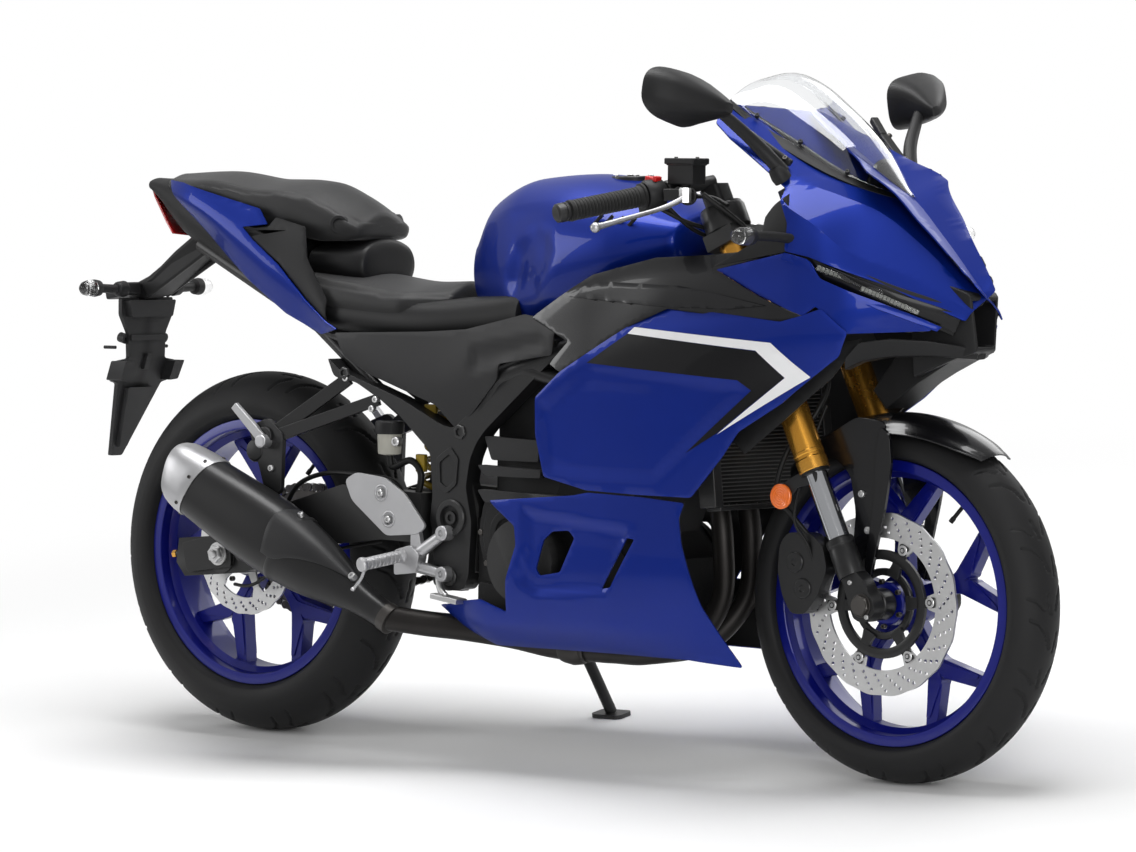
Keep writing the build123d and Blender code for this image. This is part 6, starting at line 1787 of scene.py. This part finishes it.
solid("shock_body", [turned_mesh(low - run * 10, run, [(0, 12), (8, 34), (16, 38), (20, 38), (24, 20),
                                                       (120, 20), (124, 12), (200, 12), (206, 30),
                                                       (222, 38), (232, 38), (240, 14)], 36)], frame_black,
      "chassis", ["rear_shock"], creased=30)
solid("lead_tags", [box_mesh((-248, -112, 488), (20, 10, 30)), box_mesh((-232, -106, 580), (26, 8, 16))],
      tag_yellow, bevel=2.0)

# ---------------------------------------------------------------- tail, plate hanger and rear lamp

hanger, blade = [], []
for hand in (-1, 1):
    hanger.append(bar_between(hand, (-812, 28, 862), (-975, 24, 765), 10, 40, 0.8))
    blade.append(rod_mesh((-1006, hand * 66, 664), (-1030, hand * 70, 664), 3))
spine = [(-800, 38, 32, 884, 850), (-850, 36, 30, 862, 826), (-905, 32, 27, 828, 790),
         (-955, 30, 25, 790, 758), (-1000, 27, 20, 772, 744), (-1022, 20, 16, 766, 742)]
rows = [(x, [(top, zt), (foot, zf), (-foot, zf), (-top, zt), (-top * 0.7, zt + 7), (top * 0.7, zt + 7)])
        for x, top, foot, zt, zf in spine]
hanger.append(rings_mesh(rows))
hanger += [boss(hand, (-990, 60, 768), [(0, 15), (18, 13), (24, 10)], 24) for hand in (-1, 1)]
hanger.append(box_mesh((-1012, 0, 764), (56, 120, 22), pitched(-12)))
solid("hanger_arm", hanger, trim_black, "chassis", ["plate_hanger"], bevel=4.0)


def plate_place(u, v, out):
    """A place on the number plate carrier: across, down from its top, and out of its face."""
    bend = 0 if v < 108 else (v - 108) * 0.42
    return (-1000 - bend - out, u, 752 - v)


def carrier_slab(outline, out, wall):
    """A slab on the number plate carrier, its face out by out."""
    flat, faces = flat_mesh(outline, step=30)
    front = [plate_place(u, v, out) for u, v in flat]
    return walled(front, [plate_place(u, v, out - wall) for u, v in flat], faces)


# slabs of the carrier: outline (across, down from its top), corner, how far out its face is, thickness
slabs = [([(-66, 0), (66, 0), (66, 30), (48, 62), (46, 108), (74, 112), (72, 148), (56, 152), (14, 284),
           (-14, 284), (-56, 152), (-72, 148), (-74, 112), (-46, 108), (-48, 62), (-66, 30)], 4, 0, 8),
         ([(-34, 160), (34, 160), (9, 268), (-9, 268)], 3, -8, 10),
         ([(-60, 4), (60, 4), (52, 34), (-52, 34)], 4, -8, 14),
         ([(-44, 66), (44, 66), (44, 76), (-44, 76)], 2, -8, 4),
         ([(52, 112), (76, 112), (74, 146), (52, 148)], 3, 6, 36),
         ([(-76, 112), (-52, 112), (-52, 148), (-74, 146)], 3, 6, 36),
         ([(-6, 100), (6, 100), (6, 128), (-6, 128)], 2, -8, 7)]
blade += [carrier_slab(softened(outline, corner), out, wall) for outline, corner, out, wall in slabs]
for hand in (-1, 1):
    a, b = Vector((-1010, hand * 50, 682)), Vector((-985, hand * 50, 676))
    blade.append(turned_mesh(a, b - a, [(0, 9), (14, 9), (14, 3.4), (-0.1, 3.4)], 24))
solid("plate_carrier", blade, trim_black, "chassis", ["plate_hanger"], bevel=1.6)

tail_stations = [(-962, 20, 28, 952, 944, 22, 960, 965), (-930, 32, 40, 940, 926, 34, 955, 964),
                 (-890, 46, 56, 922, 898, 48, 946, 968), (-840, 62, 76, 900, 868, 66, 936, 958),
                 (-760, 72, 92, 866, 830, 80, 918, 936), (-660, 78, 100, 820, 786, 88, 880, 900),
                 (-560, 84, 104, 776, 742, 92, 836, 856)]
piece("tail_shell", *hull_mesh(tail_stations, 12.0, (6.0, 4.0), (4, 12, 10)), trim_black,
      stands_for=["tail_centre"], creased=45)
lamp_shares = (-1, -0.85, -0.6, -0.3, 0, 0.3, 0.6, 0.85, 1)
lamp_places = [(x - 5 * math.cos(math.pi / 2 * u), u * half, z - 3 + 4 * abs(u))
               for x, z, half in ((-962, 946, 22), (-948, 930, 30), (-930, 912, 37), (-905, 886, 46),
                                  (-884, 866, 52)) for u in lamp_shares]
lens = piece("tail_lens", lamp_places, sheet_faces(5, len(lamp_shares)), red_lens, creased=40)
thicken(lens, 4.0, 0.8)

# ---------------------------------------------------------------- seat fitting, tank slots and cap

solid("seat_fittings", [turned_mesh((-470, hand * 74, 889), (0.45, hand * 0.88, 0.05),
                                    [(0, 17), (6, 17), (8, 15), (8, 10), (5, 9), (5, 4), (7, 3)], 36)
                        for hand in (-1, 1)], trim_black, creased=30)
hump = [(-530, 70, 86, 832, 800, 64, 850, 862), (-480, 66, 82, 828, 796, 62, 850, 862),
        (-442, 62, 76, 824, 792, 58, 850, 864), (-424, 56, 70, 820, 790, 54, 850, 864)]
piece("seat_riser", *hull_mesh(hump, 6.0, (4.0, 6.0), (4, 12, 10)), seat_smooth, creased=50)
base = [(-560, 90, 104, 760, 742, 96, 776, 784), (-430, 104, 118, 735, 705, 104, 764, 772),
        (-250, 100, 122, 730, 690, 100, 758, 768), (-120, 86, 118, 735, 690, 96, 768, 780),
        (-40, 80, 116, 742, 695, 92, 780, 800)]
piece("seat_base", *hull_mesh(base, 12.0, (4.0, 4.0), (4, 10, 10)), trim_black, creased=50)
solid("airbox", [box_mesh((0, 0, 612), (196, 184, 190)), box_mesh((-20, 0, 480), (150, 200, 90))],
      trim_black, bevel=9.0)
guard = [(-300, 596, 44), (-345, 628, 54), (-420, 686, 60), (-500, 734, 62), (-580, 772, 62), (-650, 800, 58)]
rows = [(x, [(half, z - 16), (half - 6, z - 2), (half * 0.5, z + 5), (0, z + 7), (-half * 0.5, z + 5),
             (-half + 6, z - 2), (-half, z - 16), (-half + 5, z - 17), (-half + 10, z - 8), (0, z + 2),
             (half - 10, z - 8), (half - 5, z - 17)]) for x, z, half in guard]
solid("rear_guard", [rings_mesh(rows[::-1])], trim_black, "chassis", ["rear_mudguard"], creased=40)
tank_data = bpy.data.objects["fuel_tank"].data
tank_skin = BVHTree.FromPolygons([v.co for v in tank_data.vertices], [f.vertices for f in tank_data.polygons])
slots = []
for hand in (-1, 1):
    for k in range(4):
        x, z = 158 + k * 21, 902 - k * 1.5
        start = stand_at(x, hand * 320, z)
        spot = tank_skin.ray_cast(start, turned((0, -hand, 0)), 0.4)[0]
        if spot:
            y = 320 - (spot - start).length * 1000
            slots.append(bar_between(hand, (x - 15, y + 0.8, z - 13), (x + 12, y - 1.4, z + 12), 3.4, 6.0))
solid("tank_slots", slots, black_film, bevel=1.2)
solid("tank_cap", [turned_mesh((118, 0, 972), (-0.02, 0, 1), [(-6, 38), (3, 38), (5, 36.5), (5, 31),
                                                              (3.6, 30), (3.6, 11), (7, 10), (7, 3)], 64)],
      frame_black, creased=28)
scatter("tank_cap_bolts", [((118 + 34 * math.cos(a), 34 * math.sin(a), 977.6), (0, 0, 1), (1, 0, 0), 0.7)
                           for a in (math.radians(60 * k + 15) for k in range(6))], bolt, brushed)
scatter("belly_bolts", [((-96, hand * 152, 247), (0, hand, 0), (1, 0, 0), 1.4) for hand in (-1, 1)], bolt,
        brushed)

# ---------------------------------------------------------------- carried-over pieces

def smooth_tree():
    """Geometry nodes: joins loose triangles and shades them smooth, with sharp edges kept."""
    tree, given, made = node_group("smooth shading", "GeometryNodeTree",
                                   (("Geometry", "Geometry"), ("Angle", "Float")),
                                   (("Geometry", "Geometry"),))
    merge = add_node(tree, "GeometryNodeMergeByDistance", {"Distance": 0.00001})
    angle = add_node(tree, "GeometryNodeInputMeshEdgeAngle")
    over = add_node(tree, "ShaderNodeMath", operation="GREATER_THAN")
    round_faces = add_node(tree, "GeometryNodeSetShadeSmooth")
    sharp = add_node(tree, "GeometryNodeSetShadeSmooth", {"Shade Smooth": False}, domain="EDGE")
    wire(tree, (angle, "Unsigned Angle", over, 0), (given, "Angle", over, 1),
         (given, "Geometry", merge, "Geometry"), (merge, "Geometry", round_faces, "Geometry"),
         (round_faces, "Geometry", sharp, "Geometry"), (over, 0, sharp, "Selection"),
         (sharp, "Geometry", made, "Geometry"))
    return tree


smooth_edges = smooth_tree()
# The fork stanchions' hard chrome carries painted shade in its dimmed colour, for the dark surroundings they
# reflect.
carried = {
    "frame": frame_black, "swingarm": frame_black, "side_stand": frame_black, "fork_yokes": frame_black,
    "handlebars": frame_black, "engine": engine_black, "fork_stanchions": chrome, "front_axle": dark_steel,
    "rear_axle": brushed, "rear_sprocket": dark_steel}
for node, made_of in carried.items():
    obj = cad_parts[node]
    obj.data.materials.clear()
    obj.data.materials.append(made_of)
    shading = obj.modifiers.new("smooth shading", "NODES")
    shading.node_group = smooth_edges
    set_inputs(shading, {"Angle": math.radians(32)})
